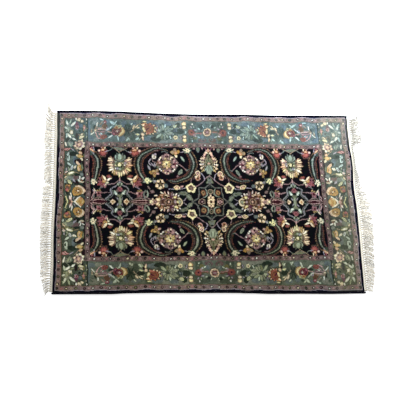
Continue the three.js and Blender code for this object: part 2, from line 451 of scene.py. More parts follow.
def mauve_rosette(q, at):
    """The rosette inside the sickles: a mauve lozenge with pairs of pale dots, round a gold star."""
    a, b = at
    gem(q, at, (57, 57), "soot 95 taupe 90 mauve 82 clay 60 taupe 50 clay", 0, 1.7)
    bloom(q, (a, b - 42), 19, "soot 90 mauve 70 rose 50 mauve", 5, 0.15, 90)
    bloom(q, (a, b + 42), 18, "soot 90 mauve 66 pink 50 dusk", 5, 0.15, 90)
    bloom(q, (a - 42, b), 18, "soot 90 mauve 70 plum 40 wine", 5, 0.15)
    bloom(q, (a + 43, b), 17, "soot 90 taupe 70 fawn 50 mauve", 5, 0.15)
    for u, v, size, yarns in (
        (-15, -37, 9, "mauve 70 pink"), (-33, -13, 8, "mauve 70 pink"), (20, 34, 8, "taupe 60 mauve"),
        (-22, 36, 8, "brown 80 fawn 50 cream"), (36, 9, 7, "brown 84 coral 60 pink"),
        (48, -13, 7, "deep 70 moss"), (46, 14, 5, "brown 60 rust"), (-37, 18, 6, "mauve 70 pink"),
        (19, -37, 6, "brown 70 ochre 50 gold"), (29, -25, 6, "soot 50 olive"),
        (-27, -26, 6, "soot 50 maroon"), (28, 27, 6, "soot"), (-28, 27, 7, "soot 50 brown"),
        (22, -16, 4, "brown"), (15, -22, 4, "dusk"), (20, 19, 4, "soot"), (-21, -16, 6, "maroon 60 rust"),
        (-4, -41, 5, "maroon"), (2, -31, 4, "brown"), (6, 39, 4, "maroon"), (-5, 39, 4, "maroon"),
        (0, 29, 4, "olive"), (-35, -1, 5, "maroon"), (43, 0, 6, "brown 60 olive"), (34, -1, 5, "brown"),
        (38, -26, 4, "ivory"), (30, -34, 4, "ivory"), (-30, -35, 4, "ivory"), (-37, -27, 4, "ivory"),
        (36, 28, 4, "ivory"), (30, 36, 4, "cream"), (-19, 27, 4, "cream"), (-29, 36, 4, "cream"),
        (9, -48, 4, "cream"), (-5, -50, 4, "cream"), (-7, -31, 4, "pink"), (-49, -7, 4, "ivory"),
        (-34, 9, 5, "mauve 60 pink"), (-49, 9, 5, "mauve 60 pink"), (7, 29, 5, "ochre 60 cream"),
        (-8, 29, 5, "mauve 60 peach"), (5, 49, 5, "wine 60 pink"), (-9, 48, 4, "pink"), (40, 20, 4, "pink"),
    ):
        bloom(q, (a + u, b + v), size, yarns)
    bloom(q, at, 26, "ochre 88 gold 66 butter", 8, 0.34)
    gem(q, (a, b - 16), (7, 13), "ochre 70 peach", 0, 1.6)
    gem(q, (a - 13, b - 1), (11, 7), "ochre 70 gold", 0, 1.6)
    gem(q, (a + 12, b + 1), (10, 6), "gold 60 cream", 0, 1.6)
    for u, v in ((10, 10), (-12, 8), (11, -11), (-10, -12), (0, 19)):
        bloom(q, (a + u, b + v), 3, "ochre")
    bloom(q, at, 5.4, "cream 84 soot")


def sunburst(q):
    """A chrysanthemum on the axis, pointed towards the end, with a green bud towards the middle."""
    gem(q, (213, 0), (66, 47), "soot 96 brown 84 dusk 70 brown", 0, 1.9)
    blades(q, (
        (234, 38, 250, 52, 9, "fawn 84 cream 50 ivory"), (262, 33, 282, 31, 9, "dusk 84 lilac 60 cream"),
        (225, 36, 229, 57, 8, "brown 84 pink 50 peach"),
        (208, 36, 213, 61, 9, "brown 84 mauve 60 pink 34 ivory"), (199, 34, 201, 52, 8, "brown 84 rust"),
        (193, 30, 191, 57, 12, "brown 88 mauve 66 dusk 40 mauve"),
        (184, 33, 183, 47, 7, "brown 76 pink 50 ivory"), (177, 34, 165, 49, 9, "brown 84 pink 60 ivory"),
        (165, 30, 154, 38, 9, "dusk 80 lilac 50 ivory"),
        (232, 33, 257, 38, 11, "brown 88 rust 70 orange 40 peach"),
        (232, 27, 266, 26, 13, "brown 88 rust 70 brown 50 orange"),
        (204, 26, 232, 36, 15, "brown 88 orange 74 peach 50 cream"),
        (188, 15, 168, 33, 16, "brown 88 amber 72 gold 46 butter"), (170, 24, 158, 26, 7, "brown 70 ochre"),
        (222, 16, 252, 17, 9, "brown 76 mauve 44 pink"),
    ), "soot")
    gems(q, (
        (250, 23, 6, 5, "soot 60 olive"), (240, 31, 6, 3, "brown 60 rust"), (229, 20, 6, 4, "olive 60 brown"),
        (197, 24, 7, 9, "maroon 80 plum"), (190, 19, 5, 5, "plum 70 pink"), (181, 13, 6, 5, "brown 60 clay"),
        (172, 12, 6, 4, "maroon"), (222, 27, 5, 4, "maroon"), (208, 22, 6, 4, "maroon 60 plum"),
        (213, 31, 4, 4, "fawn"), (224, 9, 6, 5, "mauve 60 plum"), (238, 9, 5, 4, "maroon"),
        (237, 0, 5, 4, "maroon"), (248, 7, 5, 4, "brown 60 mauve"), (228, 1, 5, 3, "brown 60 clay"),
    ))
    # The fan at its point: pale wings, a ringed flower, side buds and a tip.
    gem(q, (288, 0), (15, 16), "soot 70 cream", 0, 1.5)
    gem(q, (262, 10), (14, 9), "brown 90 ochre 76 peach 50 cream", 35, 1.6)
    gem(q, (255, 17), (8, 6), "brown 80 gold 50 cream", 60)
    bloom(q, (275, 0), 11, "peach 84 brown 72 mauve 52 maroon 30 pink")
    bloom(q, (289, 10), 7, "soot 84 mauve 70 pink 40 cream")
    bloom(q, (299, 0), 7, "soot 84 butter 50 cream")
    # The heart: a fawn ring with dark dots round a pink one.
    bloom(q, (211, 0), 19, "brown 92 orange 84 fawn 72 clay 50 brown", 8, 0.12)
    dots(q, (211, 0), 2.6, ((0, 11), (60, 10), (120, 10), (180, 11)), "soot")
    bloom(q, (210, 0), 5, "brown 80 pink 50 peach")
    # The lilac dot, the green bud and its pale rim.
    bloom(q, (180, 0), 8, "soot 88 mauve 70 lilac 40 pink", 5, 0.2)
    gem(q, (160, 0), (15, 14), "soot 92 ochre 80 moss 60 sage")
    rim = ((168, 16), (156, 17), (147, 9), (145, 0))
    ribbon(q, rim, (4, 8, 7, 6), ((-1, 1, "fawn"), (-0.8, 0.6, "cream")))
    bloom(q, (168, 0), 5, "ochre 70 butter")


def palmette_head(q):
    """The big flower under the sickles: cream and peach petals round a green shield."""
    gem(q, (437, 187), (54, 54), "maroon 94 brown 88 clay 80 fawn 70 olive", 0, 1.9)
    blades(q, (
        (460, 174, 474, 143, 14, "brown 86 ochre 70 cream"),
        (456, 170, 464, 134, 13, "brown 88 amber 64 gold"),
        (449, 168, 455, 132, 12, "brown 84 ochre 60 peach"),
        (442, 164, 447, 132, 9, "brown 84 fawn 66 cream"), (410, 176, 392, 145, 14, "brown 84 fawn 60 cream"),
        (412, 172, 403, 135, 14, "brown 84 fawn 60 peach"),
        (419, 168, 416, 132, 12, "brown 84 ochre 60 cream"),
        (438, 160, 438, 121, 10, "ochre 84 butter 50 cream"),
        (427, 162, 428, 127, 11, "moss 84 butter 50 cream"),
        (456, 203, 492, 204, 13, "brown 84 rust 60 pink"), (412, 208, 374, 207, 13, "brown 84 fawn 60 pink"),
        (470, 216, 483, 234, 10, "brown 80 peach"), (399, 216, 385, 231, 10, "brown 84 fawn 60 cream"),
        (456, 197, 495, 198, 14, "brown 84 fawn 60 peach"),
        (414, 197, 376, 196, 14, "brown 84 fawn 60 peach"),
        (456, 180, 494, 172, 14, "brown 84 fawn 66 cream"),
        (414, 180, 380, 170, 14, "brown 86 ochre 60 peach"),
        (464, 174, 493, 155, 14, "brown 86 ochre 74 cream 40 ivory"),
        (408, 174, 380, 155, 14, "brown 86 ochre 74 gold 44 butter"),
        (464, 189, 501, 190, 14, "brown 86 fawn 66 peach 40 cream"),
        (407, 188, 370, 183, 13, "brown 86 orange 60 peach"),
        (464, 213, 497, 211, 12, "brown 86 peach 60 cream"),
        (405, 213, 376, 219, 13, "brown 86 peach 60 cream"),
        (466, 216, 494, 226, 13, "brown 86 peach 60 cream"),
    ), "brown")
    gem(q, (436, 190), (37, 35), "brown 92 fawn 84 olive 70 moss 50 olive", 90, 1.9)
    gems(q, (
        (447, 173, 7, 7, "blue 70 lilac"), (456, 173, 4, 4, "sage 70 ivory"),
        (435, 170, 7, 7, "moss 84 sage 50 mint"), (424, 175, 6, 9, "olive 60 moss"),
        (413, 182, 5, 7, "dusk 60 clay"), (461, 188, 5, 8, "clay 60 fawn"),
        (434, 192, 10, 9, "moss 84 butter 50 cream"), (452, 190, 4, 4, "moss 70 butter"),
        (420, 197, 4, 4, "moss 60 cream"), (412, 188, 5, 4, "clay 70 ivory"),
        (408, 198, 7, 8, "dusk 76 lilac 40 mauve"), (400, 193, 4, 5, "fawn 60 cream"),
        (408, 212, 5, 5, "fawn 60 pink"), (450, 206, 9, 5, "olive 80 sage"),
        (430, 205, 5, 5, "ochre 60 sage"), (421, 190, 4, 4, "brown"), (427, 199, 4, 4, "ochre 60 olive"),
        (438, 178, 3, 5, "soot"), (427, 180, 3, 5, "soot"), (446, 192, 3.4, 4.4, "soot"),
        (460, 203, 5, 6, "clay 60 brown"),
    ))


def palmette_crown(q):
    """The big flower's crown: three green leaves between grey wings, and the stems that cross above it."""
    gem(q, (433, 228), (31, 24), "soot 94 deep 86 grey 70 moss", 0, 1.7)
    blades(q, (
        (455, 220, 457, 244, 11, "deep 88 grey 50 mint", 3),
        (411, 222, 408, 246, 11, "deep 88 grey 60 sage", -3), (421, 222, 421, 246, 10, "deep 86 moss"),
        (444, 218, 445, 240, 11, "forest 88 teal 50 deep"), (446, 238, 450, 255, 6, "deep 70 grey"),
        (424, 240, 419, 256, 6, "deep 70 grey"),
    ))
    leaf(q, (434, 214), 38, 26, 90, "deep 92 moss 84 sage 56 mint")
    # The crossing stems above it, over a grey arch.
    gem(q, (438, 276), (36, 10), "deep 80 grey 50 moss", 0, 1.6)
    q.axis = PALMETTE_AXIS
    stem(q, ((436, 256), (454, 270), (488, 288)), "fawn", 4)
    stem(q, ((494, 258), (482, 264), (472, 274)), "grey", 3.6)
    q.axis = None


def tall_palmette(q, at):
    """The palmette on the middle line, that points to the long side."""
    a, b = at
    bloom(q, (a, b + 4), 44, "soot 94 brown", 12, 0.12, 90, 1.12)
    for side in (-1, 1):
        leaf(q, (a + side * 28, b + 38), 50, 15, 90 + side * 34, "soot 80 pink 50 peach", side * -4)
    petals(q, at, 20, (
        (60, 56, 10, "pink 50 peach"), (47, 58, 11, "brown 74 peach 40 cream"), (34, 50, 9, "brown 60 pink"),
        (22, 51, 11, "ochre 74 cream"), (9, 45, 8, "brown 60 peach"), (-4, 50, 11, "ochre 74 ivory"),
        (-17, 46, 8, "brown 60 fawn"), (-29, 54, 11, "ochre 74 cream"), (-40, 52, 8, "brown 60 ochre"),
        (-49, 60, 10, "brown 74 gold"),
    ))
    dots(q, at, 4.6, ((40, 47), (14, 40), (-10, 41), (-34, 46), (54, 42)), "soot 84 peach 50 cream")
    dots(q, at, 3.6, ((27, 38), (2, 34), (-22, 38)), "maroon")
    gem(q, (a, b + 4), (45, 26), "soot 94 brown 86 moss 76 fawn 66 olive 50 moss", 90, 1.8)
    leaf(q, (a, b + 30), 34, 16, 90, "soot 84 moss 50 olive")
    leaf(q, (a, b + 62), 26, 13, 90, "soot 84 orange 50 peach")
    dots(q, at, 4.4, ((70, 30), (40, 22), (330, 22), (300, 32)), "fawn 50 olive")
    dots(q, at, 3.6, ((6, 12), (90, 22)), "soot")
    dots(q, at, 3, ((56, 14), (330, 12), (270, 12), (20, 20)), "brown 50 cream")
    bloom(q, (a + 1, b + 4), 7, "brown 84 peach 50 pink", 4, 0.3)
    # The calyx.
    calyx = ((-1, 1, "soot"), (-0.9, 0.9, "grey"), (-0.7, 0.7, "sage"))
    ribbon(q, ((a, b - 48), (a, b - 14)), (26, 52), calyx)
    for turn in (-62, -90, -118):
        r = math.radians(turn)
        leaf(q, (a + 14 * math.cos(r), b - 4), 40, 7, turn, "grey 70 mint")
        leaf(q, (a + 14 * math.cos(r) + 7, b - 10), 28, 4, turn, "deep")


def cartouche(q, at):
    """The star on the long axis with its green spindle, between two fans."""
    a, b = at
    q.axis = a
    outline = ((74, 0), (60, 19), (45, 32), (37, 45), (42, 61), (33, 72), (17, 80), (0, 102))
    outline = [(a + u, v) for u, v in outline]
    for shift, yarn, width in ((0, "ink", 9), (0, "lilac", 5.5), (1.4, "grey", 2.7)):
        stem(q, [(x + shift, y) for x, y in outline], yarn, width)
    stem(q, [(x - 8, y - 2) for x, y in outline[1:5]], "grey", 3.5)
    # The side diamonds and rosettes.
    gem(q, (a + 56, 0), (13, 13), "grey 72 night")
    bloom(q, (a + 33, 0), 17, "maroon 90 peach 76 cream 52 ochre 30 orange", 4, 0.24, 0, 0.84)
    # The green spindle with its arms, curls and tulips.
    leaf(q, (a - 1, 2), 30, 9, 42, "teal 66 lilac", 5)
    leaf(q, (a + 3, 22), 22, 11, 60, "teal 66 moss", 3)
    leaf(q, (a + 13, 32), 30, 15, 70, "forest 82 mint 46 frost", -4)
    bloom(q, (a + 16, 39), 6, "frost 60 ivory")
    leaf(q, (a + 4, 80), 18, 12, 48, "forest 74 sage 40 mint", 4)
    leaf(q, (a, 50), 22, 15, 26, "maroon 70 taupe", -3)
    q.axis = None
    leaf(q, (a, -40), 82, 19, 90, "deep 80 moss 46 sage")
    gem(q, (a, 62), (16, 15), "maroon 84 rose 40 wine", 90, 1.3)
    gem(q, (a, 81), (10, 8), "sage 70 forest", 90)


def fans(q, a):
    """The fans on both sides of the cartouche: lenses in several rims, each with a rosette beside it."""
    lens = ((27, "soot"), (25, "taupe"), (19, "olive"), (17, "soot"), (12, "mauve"), (8, "maroon"))
    for far in (a - 92, a + 102):
        for half_width, yarn in lens:
            gem(q, (far, 0), (46, half_width), yarn, 0, 1.15)
        stem(q, ((far - 30, 5), (far - 4, 9), (far + 26, 5)), "pink", 2.8)
        petals(q, (far - 2, 40), 2, (
            (110, 26, 16, "brown 74 ochre"), (66, 22, 15, "olive 70 ochre"), (160, 20, 14, "mauve 60 rose"),
            (20, 20, 14, "mauve 60 pink"), (236, 20, 14, "rose 60 mauve"), (300, 20, 14, "mauve 60 rose"),
        ))
        bloom(q, (far - 2, 40), 10, "rose 76 wine 46 soot", 5, 0.24, 90)


def end_leaves(q):
    """Long leaves at the field's end."""
    leaf(q, (566, 8), 46, 9, 88, "dusk 60 grey", -4)
    leaf(q, (550, 46), 32, 8, 50, "grey 70 cream", 3)
    leaf(q, (578, 14), 34, 6, 100, "mauve 60 pink", 3)


def iris(q):
    """The irises on both sides of the big palmette's tip: a rose body, orange lips and a red tongue."""
    blades(q, (
        (362, 98, 374, 70, 16, "dusk 86 mauve 60 rose 30 pink"),
        (360, 96, 348, 72, 15, "dusk 84 rose 50 mauve"),
        (362, 100, 330, 84, 20, "dusk 88 rose 70 red 40 wine"),
        (360, 104, 326, 104, 15, "maroon 80 dusk 50 rose"),
        (358, 106, 336, 124, 18, "maroon 88 wine 70 rose 36 dusk"),
        (364, 112, 348, 134, 13, "brown 84 rust 50 orange"),
    ), "soot")
    bloom(q, (354, 96), 14, "rose 78 red 52 wine 30 rose", 5, 0.2)
    gem(q, (388, 128), (17, 11), "soot 92 brown 84 rust 56 red 34 rose", 160, 1.4)
    bloom(q, (365, 108), 11, "brown 88 amber 64 orange 40 gold", 5, 0.2)
    blades(q, (
        (374, 112, 404, 118, 11, "fawn 84 cream 50 ivory", 5),
        (374, 110, 352, 136, 12, "brown 88 peach 66 cream", -2),
    ), "soot")
    bloom(q, (379, 100), 8, "moss 84 sage 66 cream", 4, 0.2)
    bloom(q, (374, 90), 5, "dusk 70 cream")
    bloom(q, (350, 110), 4, "maroon")


def edge_flowers(q):
    """Palmettes, leaves and blossoms cut by the field's long edge."""
    for a, side in ((362, -1), (517, 1)):
        bloom(q, (a, 254), 27, "soot 92 brown 82 dusk 72 wine 64 red 40 coral", 7, 0.14, 90, 1.1)
        dots(q, (a, 252), 3, ((210, 18), (250, 17), (290, 17), (330, 18)), "soot")
        gem(q, (a + 1, 268), (14, 10), "soot 86 rust 66 orange 40 peach", 0, 1.6)
        bloom(q, (a + side * 20, 264), 9, "soot 84 pink 50 cream", 4, 0.3)
        bloom(q, (a - side * 19, 260), 7, "soot 80 mauve 40 pink", 4, 0.3)
        leaf(q, (a - 12, 288), 20, 8, -80, "soot 74 cream")
        leaf(q, (a + 10, 292), 20, 8, -100, "soot 76 pink")
        leaf(q, (a, 290), 14, 8, -90, "brown 60 orange")
    stem(q, ((392, 262), (384, 256), (376, 258)), "lilac", 3.6)
    stem(q, ((492, 262), (500, 256), (508, 258)), "lilac", 3.6)
    stem(q, ((564, 250), (562, 270), (566, 288)), "lilac", 4)
    leaf(q, (590, 280), 46, 13, 214, "brown 70 orange 40 peach", 4)
    gem(q, (578, 250), (12, 9), "deep", 60)
    bloom(q, (574, 278), 8, "maroon 70 rose", 5, 0.3)
    leaf(q, (52, 292), 38, 28, -90, "forest 84 deep 64 grey 36 moss", 0, 2)
    for a, yarn in ((14, "plum"), (30, "pink"), (72, "mauve")):
        bloom(q, (a, 279), 5, yarn)
    gem(q, (8, 258), (10, 6), "soot 70 cream", 60)


def ring_buds(q):
    """Inside the sickles' ring: a four-pointed bud, a round one on the other diagonal, and small leaves."""
    for turn, tip, width, layers in (
        (148, 30, 21, "soot 86 brown 72 amber"), (84, 30, 22, "soot 84 taupe 66 fawn"),
        (22, 30, 20, "soot 84 brown 74 ochre 50 fawn"), (262, 25, 17, "soot 80 moss 66 cream"),
    ):
        leaf(q, (168, 251), tip, width, turn, layers)
    bloom(q, (166, 252), 10, "ochre 74 orange 40 peach")
    petals(q, (276, 148), 3, (
        (20, 27, 20, "brown 80 amber 50 ochre"), (128, 29, 20, "brown 84 ochre 50 fawn"),
        (196, 28, 17, "soot 80 fawn 60 pink"), (76, 20, 18, "ochre 60 gold"), (268, 24, 18, "brown 70 ochre"),
    ))
    bloom(q, (274, 147), 10, "ochre 66 brown 34 orange")
    for base, length, width, turn, layers, *bend in (
        ((144, 238), 38, 12, 238, "blue 84 grey 66 mint"),
        ((272, 222), 30, 28, 80, "soot 86 grey 76 taupe 56 ivory 30 fawn"),
        ((292, 162), 36, 12, 66, "deep 76 grey 50 lilac"), ((274, 180), 28, 8, 92, "grey 60 lilac"),
        ((278, 184), 24, 5, 60, "lilac"), ((156, 138), 40, 18, 118, "soot 86 grey 76 sage 36 grey", 3),
        ((118, 160), 22, 7, 150, "deep 60 grey"),
    ):
        leaf(q, base, length, width, turn, layers, *bend)
    bloom(q, (160, 132), 8, "plum 70 mauve", 4, 0.2)
    bloom(q, (268, 246), 8, "plum 74 lilac", 4, 0.2)
    leaf(q, (250, 262), 30, 6, 8, "dusk 60 mauve")


def yellow_rosette(q, at):
    """A five-lobed yellow flower with a dark dot in each lobe."""
    bloom(q, at, 29, "soot 94 butter 84 cream 66 butter 58 ochre 50 soot", 5, 0.2, 18)
    dots(q, at, 6, [(turn, 8.5) for turn in range(18, 378, 72)], "brown 66 mauve")
    dots(q, at, 2.4, [(turn, 10) for turn in range(18, 378, 72)], "soot")
    bloom(q, at, 4, "fawn")


def vine_flowers(q):
    """On the vine: a bud with a rust heart, a brown flower with cream dots, a grey ring and curled leaves."""
    gem(q, (166, 76), (20, 13), "soot 90 ochre 80 cream 56 rust 34 peach", 10, 1.6)
    leaf(q, (152, 76), 26, 12, 168, "soot 80 mauve 50 pink")
    leaf(q, (164, 70), 18, 7, 10, "gold 50 butter")
    bloom(q, (250, 88), 27, "soot 92 brown 86 ochre 70 brown", 5, 0.24, 90)
    ring = ((54, 18), (126, 18), (198, 17), (270, 17), (342, 18))
    dots(q, (250, 88), 8.4, ring, "soot 92 fawn 80 cream 36 peach")
    dots(q, (250, 88), 5, ((18, 10), (90, 12), (162, 10), (234, 10), (306, 10)), "brown 60 soot")
    bloom(q, (250, 88), 6, "brown 70 olive")
    gem(q, (221, 82), (13, 12), "soot 88 grey 74 blue 50 grey", 30, 1.7)
    gem(q, (287, 52), (14, 11), "soot 88 dusk 74 taupe 40 mauve", 20)
    leaf(q, (296, 60), 26, 8, 64, "soot 70 taupe")
    leaf(q, (268, 100), 20, 12, 30, "grey 60 lilac")
    ribbon(q, ((322, 16), (326, 36), (318, 56)), (4, 8, 4), ((-1, 1, "grey"),))
    ribbon(q, ((316, 20), (308, 38), (312, 54)), (4, 9, 4), ((-1, 1, "grey"), (-0.4, 0.4, "mint")))


def pendant(q):
    """A double bud of peach flowers, and the green pendant on the middle line with its stems."""
    gem(q, (60, 122), (16, 15), "soot 92 brown 84 pink 64 orange 40 brown", 110, 1.7)
    gem(q, (56, 146), (17, 15), "soot 92 brown 84 cream 66 peach 44 brown 28 pink", 100, 1.6)
    bloom(q, (68, 130), 6, "brown 80 cream")
    bloom(q, (48, 136), 6, "brown 80 peach")
    ribbon(q, ((0, 100), (0, 138)), (46, 3), ((-1, 1, "forest"), (-0.84, 0.84, "moss"), (-0.5, 0.5, "grey")))
    gem(q, (0, 127), (6, 4), "soot")
    gem(q, (0, 106), (10, 3), "olive")
    stem(q, ((78, 75), (52, 90), (27, 112), (0, 140)), "mauve", 4.4)
    stem(q, ((28, 112), (24, 124), (32, 140), (40, 148)), "lilac", 4)


def medallion(q):
    """The middle star with its flowers, and the leaves at its points."""
    points = (
        (88, 0), (74, 10), (61, 23), (58, 45), (57, 68), (54, 72), (38, 73), (22, 75), (10, 86), (0, 99),
    )
    for yarn, width in (("ink", 9), ("grey", 5.5), ("dusk", 2.2)):
        stem(q, points, yarn, width)
    ribbon(q, ((0, 74), (0, 93)), (18, 1), ((-1, 1, "deep"), (-0.5, 0.5, "night")))
    # Brown buds on the diagonals, each with a pale leaf towards the middle.
    gem(q, (36, 47), (17, 15), "soot 92 brown 78 rust 56 ochre 34 brown", 100, 1.6)
    hook = ((24, 66), (18, 54), (17, 38), (28, 27), (40, 26))
    ribbon(q, hook, (4, 8, 9, 7, 3), ((-1, 1, "grey"), (-0.5, 0.4, "sage")))
    bloom(q, (0, 51), 17, "soot 88 fawn 58 forest 30 olive", 3, 0.16, 270, 1.1)
    # The flowers at the sides, mottled.
    bloom(q, (45, 0), 19, "soot 92 fawn 74 dusk", 7, 0.2, 90, 1.24)
    dots(q, (45, 0), 4, ((90, 14), (40, 11), (140, 11), (220, 11), (320, 11), (270, 14)), "maroon 50 soot")
    dots(q, (45, 0), 3.4, ((90, 5), (10, 7), (170, 7), (270, 5)), "pink")
    # The heart, peach and cream lobes longer across the rug, over brown.
    bloom(q, (0, 0), 21, "soot 94 maroon 86 brown", 6, 0.2, 90, 1.5)
    for a, b, radius, layers in (
        (0, 27, 6, "peach 60 cream"), (11, 20, 7, "ochre 84 peach 60 cream"),
        (15, 6, 7, "ochre 84 peach 60 cream"), (6, 9, 5, "gold 60 cream"),
    ):
        bloom(q, (a, b), radius, layers)
    gem(q, (0, 0), (6, 5), "brown 60 maroon")
    leaf(q, (86, 6), 52, 28, 34, "forest 84 grey 70 moss 46 grey 20 sage", 5, 3)
    leaf(q, (110, 36), 58, 30, 16, "forest 84 deep 66 grey 40 moss 18 deep", -4, 3)
    leaf(q, (104, 40), 24, 12, 60, "forest 66 grey")


def guards(q):
    """The two taupe guard bands: a row of ringed dots with small blossoms between."""
    for yarn, a0, a1, b0, b1 in (
        ("taupe", BANDS_A["border"], OUT_A, 0, OUT_B), ("taupe", 0, OUT_A, BANDS_B["border"], OUT_B),
        ("clay", BANDS_A["field"], BANDS_A["guard"], 0, BANDS_B["guard"]),
        ("clay", 0, BANDS_A["guard"], BANDS_B["field"], BANDS_B["guard"]),
    ):
        q.block(yarn, a0, a1, b0, b1)
    hearts = ("ivory", "dusk", "moss", "cream", "deep", "ivory", "mauve")
    for way, run, place, first in (
        # Each row of dots: which way it runs, how far, its place across, and its first dot.
        ("along", 735, 445, 17.0), ("along", 606, 296, 12.0), ("across", 445, 726, 30.0),
        ("across", 296, 595, 21.0),
    ):
        for k in range(int((run - first) / GUARD_PITCH) + 1):
            at = first + k * GUARD_PITCH
            turn = 0 if way == "along" else 90
            for shift in (0, GUARD_PITCH / 2):
                spot = (at + shift, place) if way == "along" else (place, at + shift)
                if shift == 0:
                    bloom(q, spot, 7.8, f"dusk 88 soot 46 {hearts[k % 7]}")
                elif at + shift < run - 6:
                    blossom(q, spot, turn, ("mauve", "fawn", "rose", "mauve", "pink")[k % 5], k)
    # Thin lines between the bands.
    for yarn, a, b in (
        ("brown", BANDS_A["border"], BANDS_B["border"]), ("maroon", BANDS_A["field"], BANDS_B["field"]),
    ):
        q.block(yarn, a, a + 3, 0, b + 3)
        q.block(yarn, 0, a + 3, b, b + 3)
    q.block("lilac", BANDS_A["outer"] - 6, BANDS_A["outer"] - 3, 0, 455)
    q.block("lilac", 0, BANDS_A["outer"] - 3, 455, 458)
    q.block("night", BANDS_A["outer"] - 3, OUT_A, 0, OUT_B)
    q.block("navy", 0, BANDS_A["outer"] - 3, 458, OUT_B)
    q.block("dusk", BANDS_A["guard"] - 3, BANDS_A["guard"], 0, BANDS_B["guard"])
    q.block("dusk", 0, BANDS_A["guard"], BANDS_B["guard"] - 3, BANDS_B["guard"])


def blossom(q, at, turn, yarn, k):
    """A guard blossom between two small leaves."""
    r = math.radians(turn)
    for side in (-1, 1):
        base = (at[0] - side * 8 * math.sin(r), at[1] + side * 8 * math.cos(r))
        leaf(q, base, 13, 4, turn + (10 if side == 1 else 190), ("fawn", "dusk", "mauve")[k % 3])
    bloom(q, at, 7, f"dusk 84 {yarn} 40 mauve", 4, 0.4, turn + 12 * (k % 4))


def long_border(q):
    """The broad border along a long side, from its middle rosette to the seam with the end border."""
    border_ground(q)
    border_leaves(q)
    border_rosettes(q)
    rust_palmette(q)
    wine_flowers(q)
    seam(q)


def across(a, v):
    """A place of the long border, with v counted from its middle line."""
    return (a, BORDER_MID + v)


def border_ground(q):
    """The dyer's uneven baths, each to a distance from the middle, with soft patches of other yarns."""
    low = 0
    baths = (
        (58, "teal"), (96, "deep"), (130, "teal"), (252, "grey"), (290, "teal"), (330, "deep"), (600, "teal"),
    )
    for high, yarn in baths:
        q.block(yarn, low, high, *BORDER_B)
        low = high
    gems(q, (
        (26, -44, 22, 12, "dusk"), (50, 46, 26, 12, "deep"), (30, 30, 12, 10, "forest"),
        (30, -26, 14, 10, "blue"), (62, -26, 12, 16, "olive"), (96, 30, 22, 20, "deep"),
        (140, 4, 22, 16, "forest"), (164, 8, 10, 20, "blue"), (160, -14, 10, 14, "deep"),
        (148, 40, 14, 14, "forest"), (222, 0, 62, 44, "deep"), (200, 44, 24, 12, "blue"),
        (262, 34, 14, 20, "blue"), (296, -38, 24, 12, "blue"), (262, -40, 26, 14, "forest"),
        (286, 46, 24, 10, "blue"), (350, 2, 20, 12, "forest"), (332, -30, 8, 16, "soot"),
        (372, -30, 14, 20, "deep"), (370, 44, 20, 10, "blue"), (424, -40, 20, 14, "blue"),
        (412, 30, 16, 22, "blue"), (392, 6, 24, 34, "deep"), (452, 40, 20, 12, "deep"),
        (462, -4, 24, 12, "deep"), (468, 8, 16, 10, "forest"), (480, -16, 20, 7, "forest"),
        (506, 20, 16, 16, "brown"), (520, -6, 16, 10, "dusk"), (486, 48, 18, 8, "blue"),
        (560, 44, 24, 14, "grey"), (556, 14, 8, 12, "forest"), (574, -40, 16, 12, "blue"),
        (546, -44, 14, 10, "grey"), (586, 0, 6, 50, "blue"),
    ), 1.9, across(0, 0))
    for k in range(8):
        leaf(q, across(396, 2), 40, 6, 18 + 45 * k, "forest", 4)


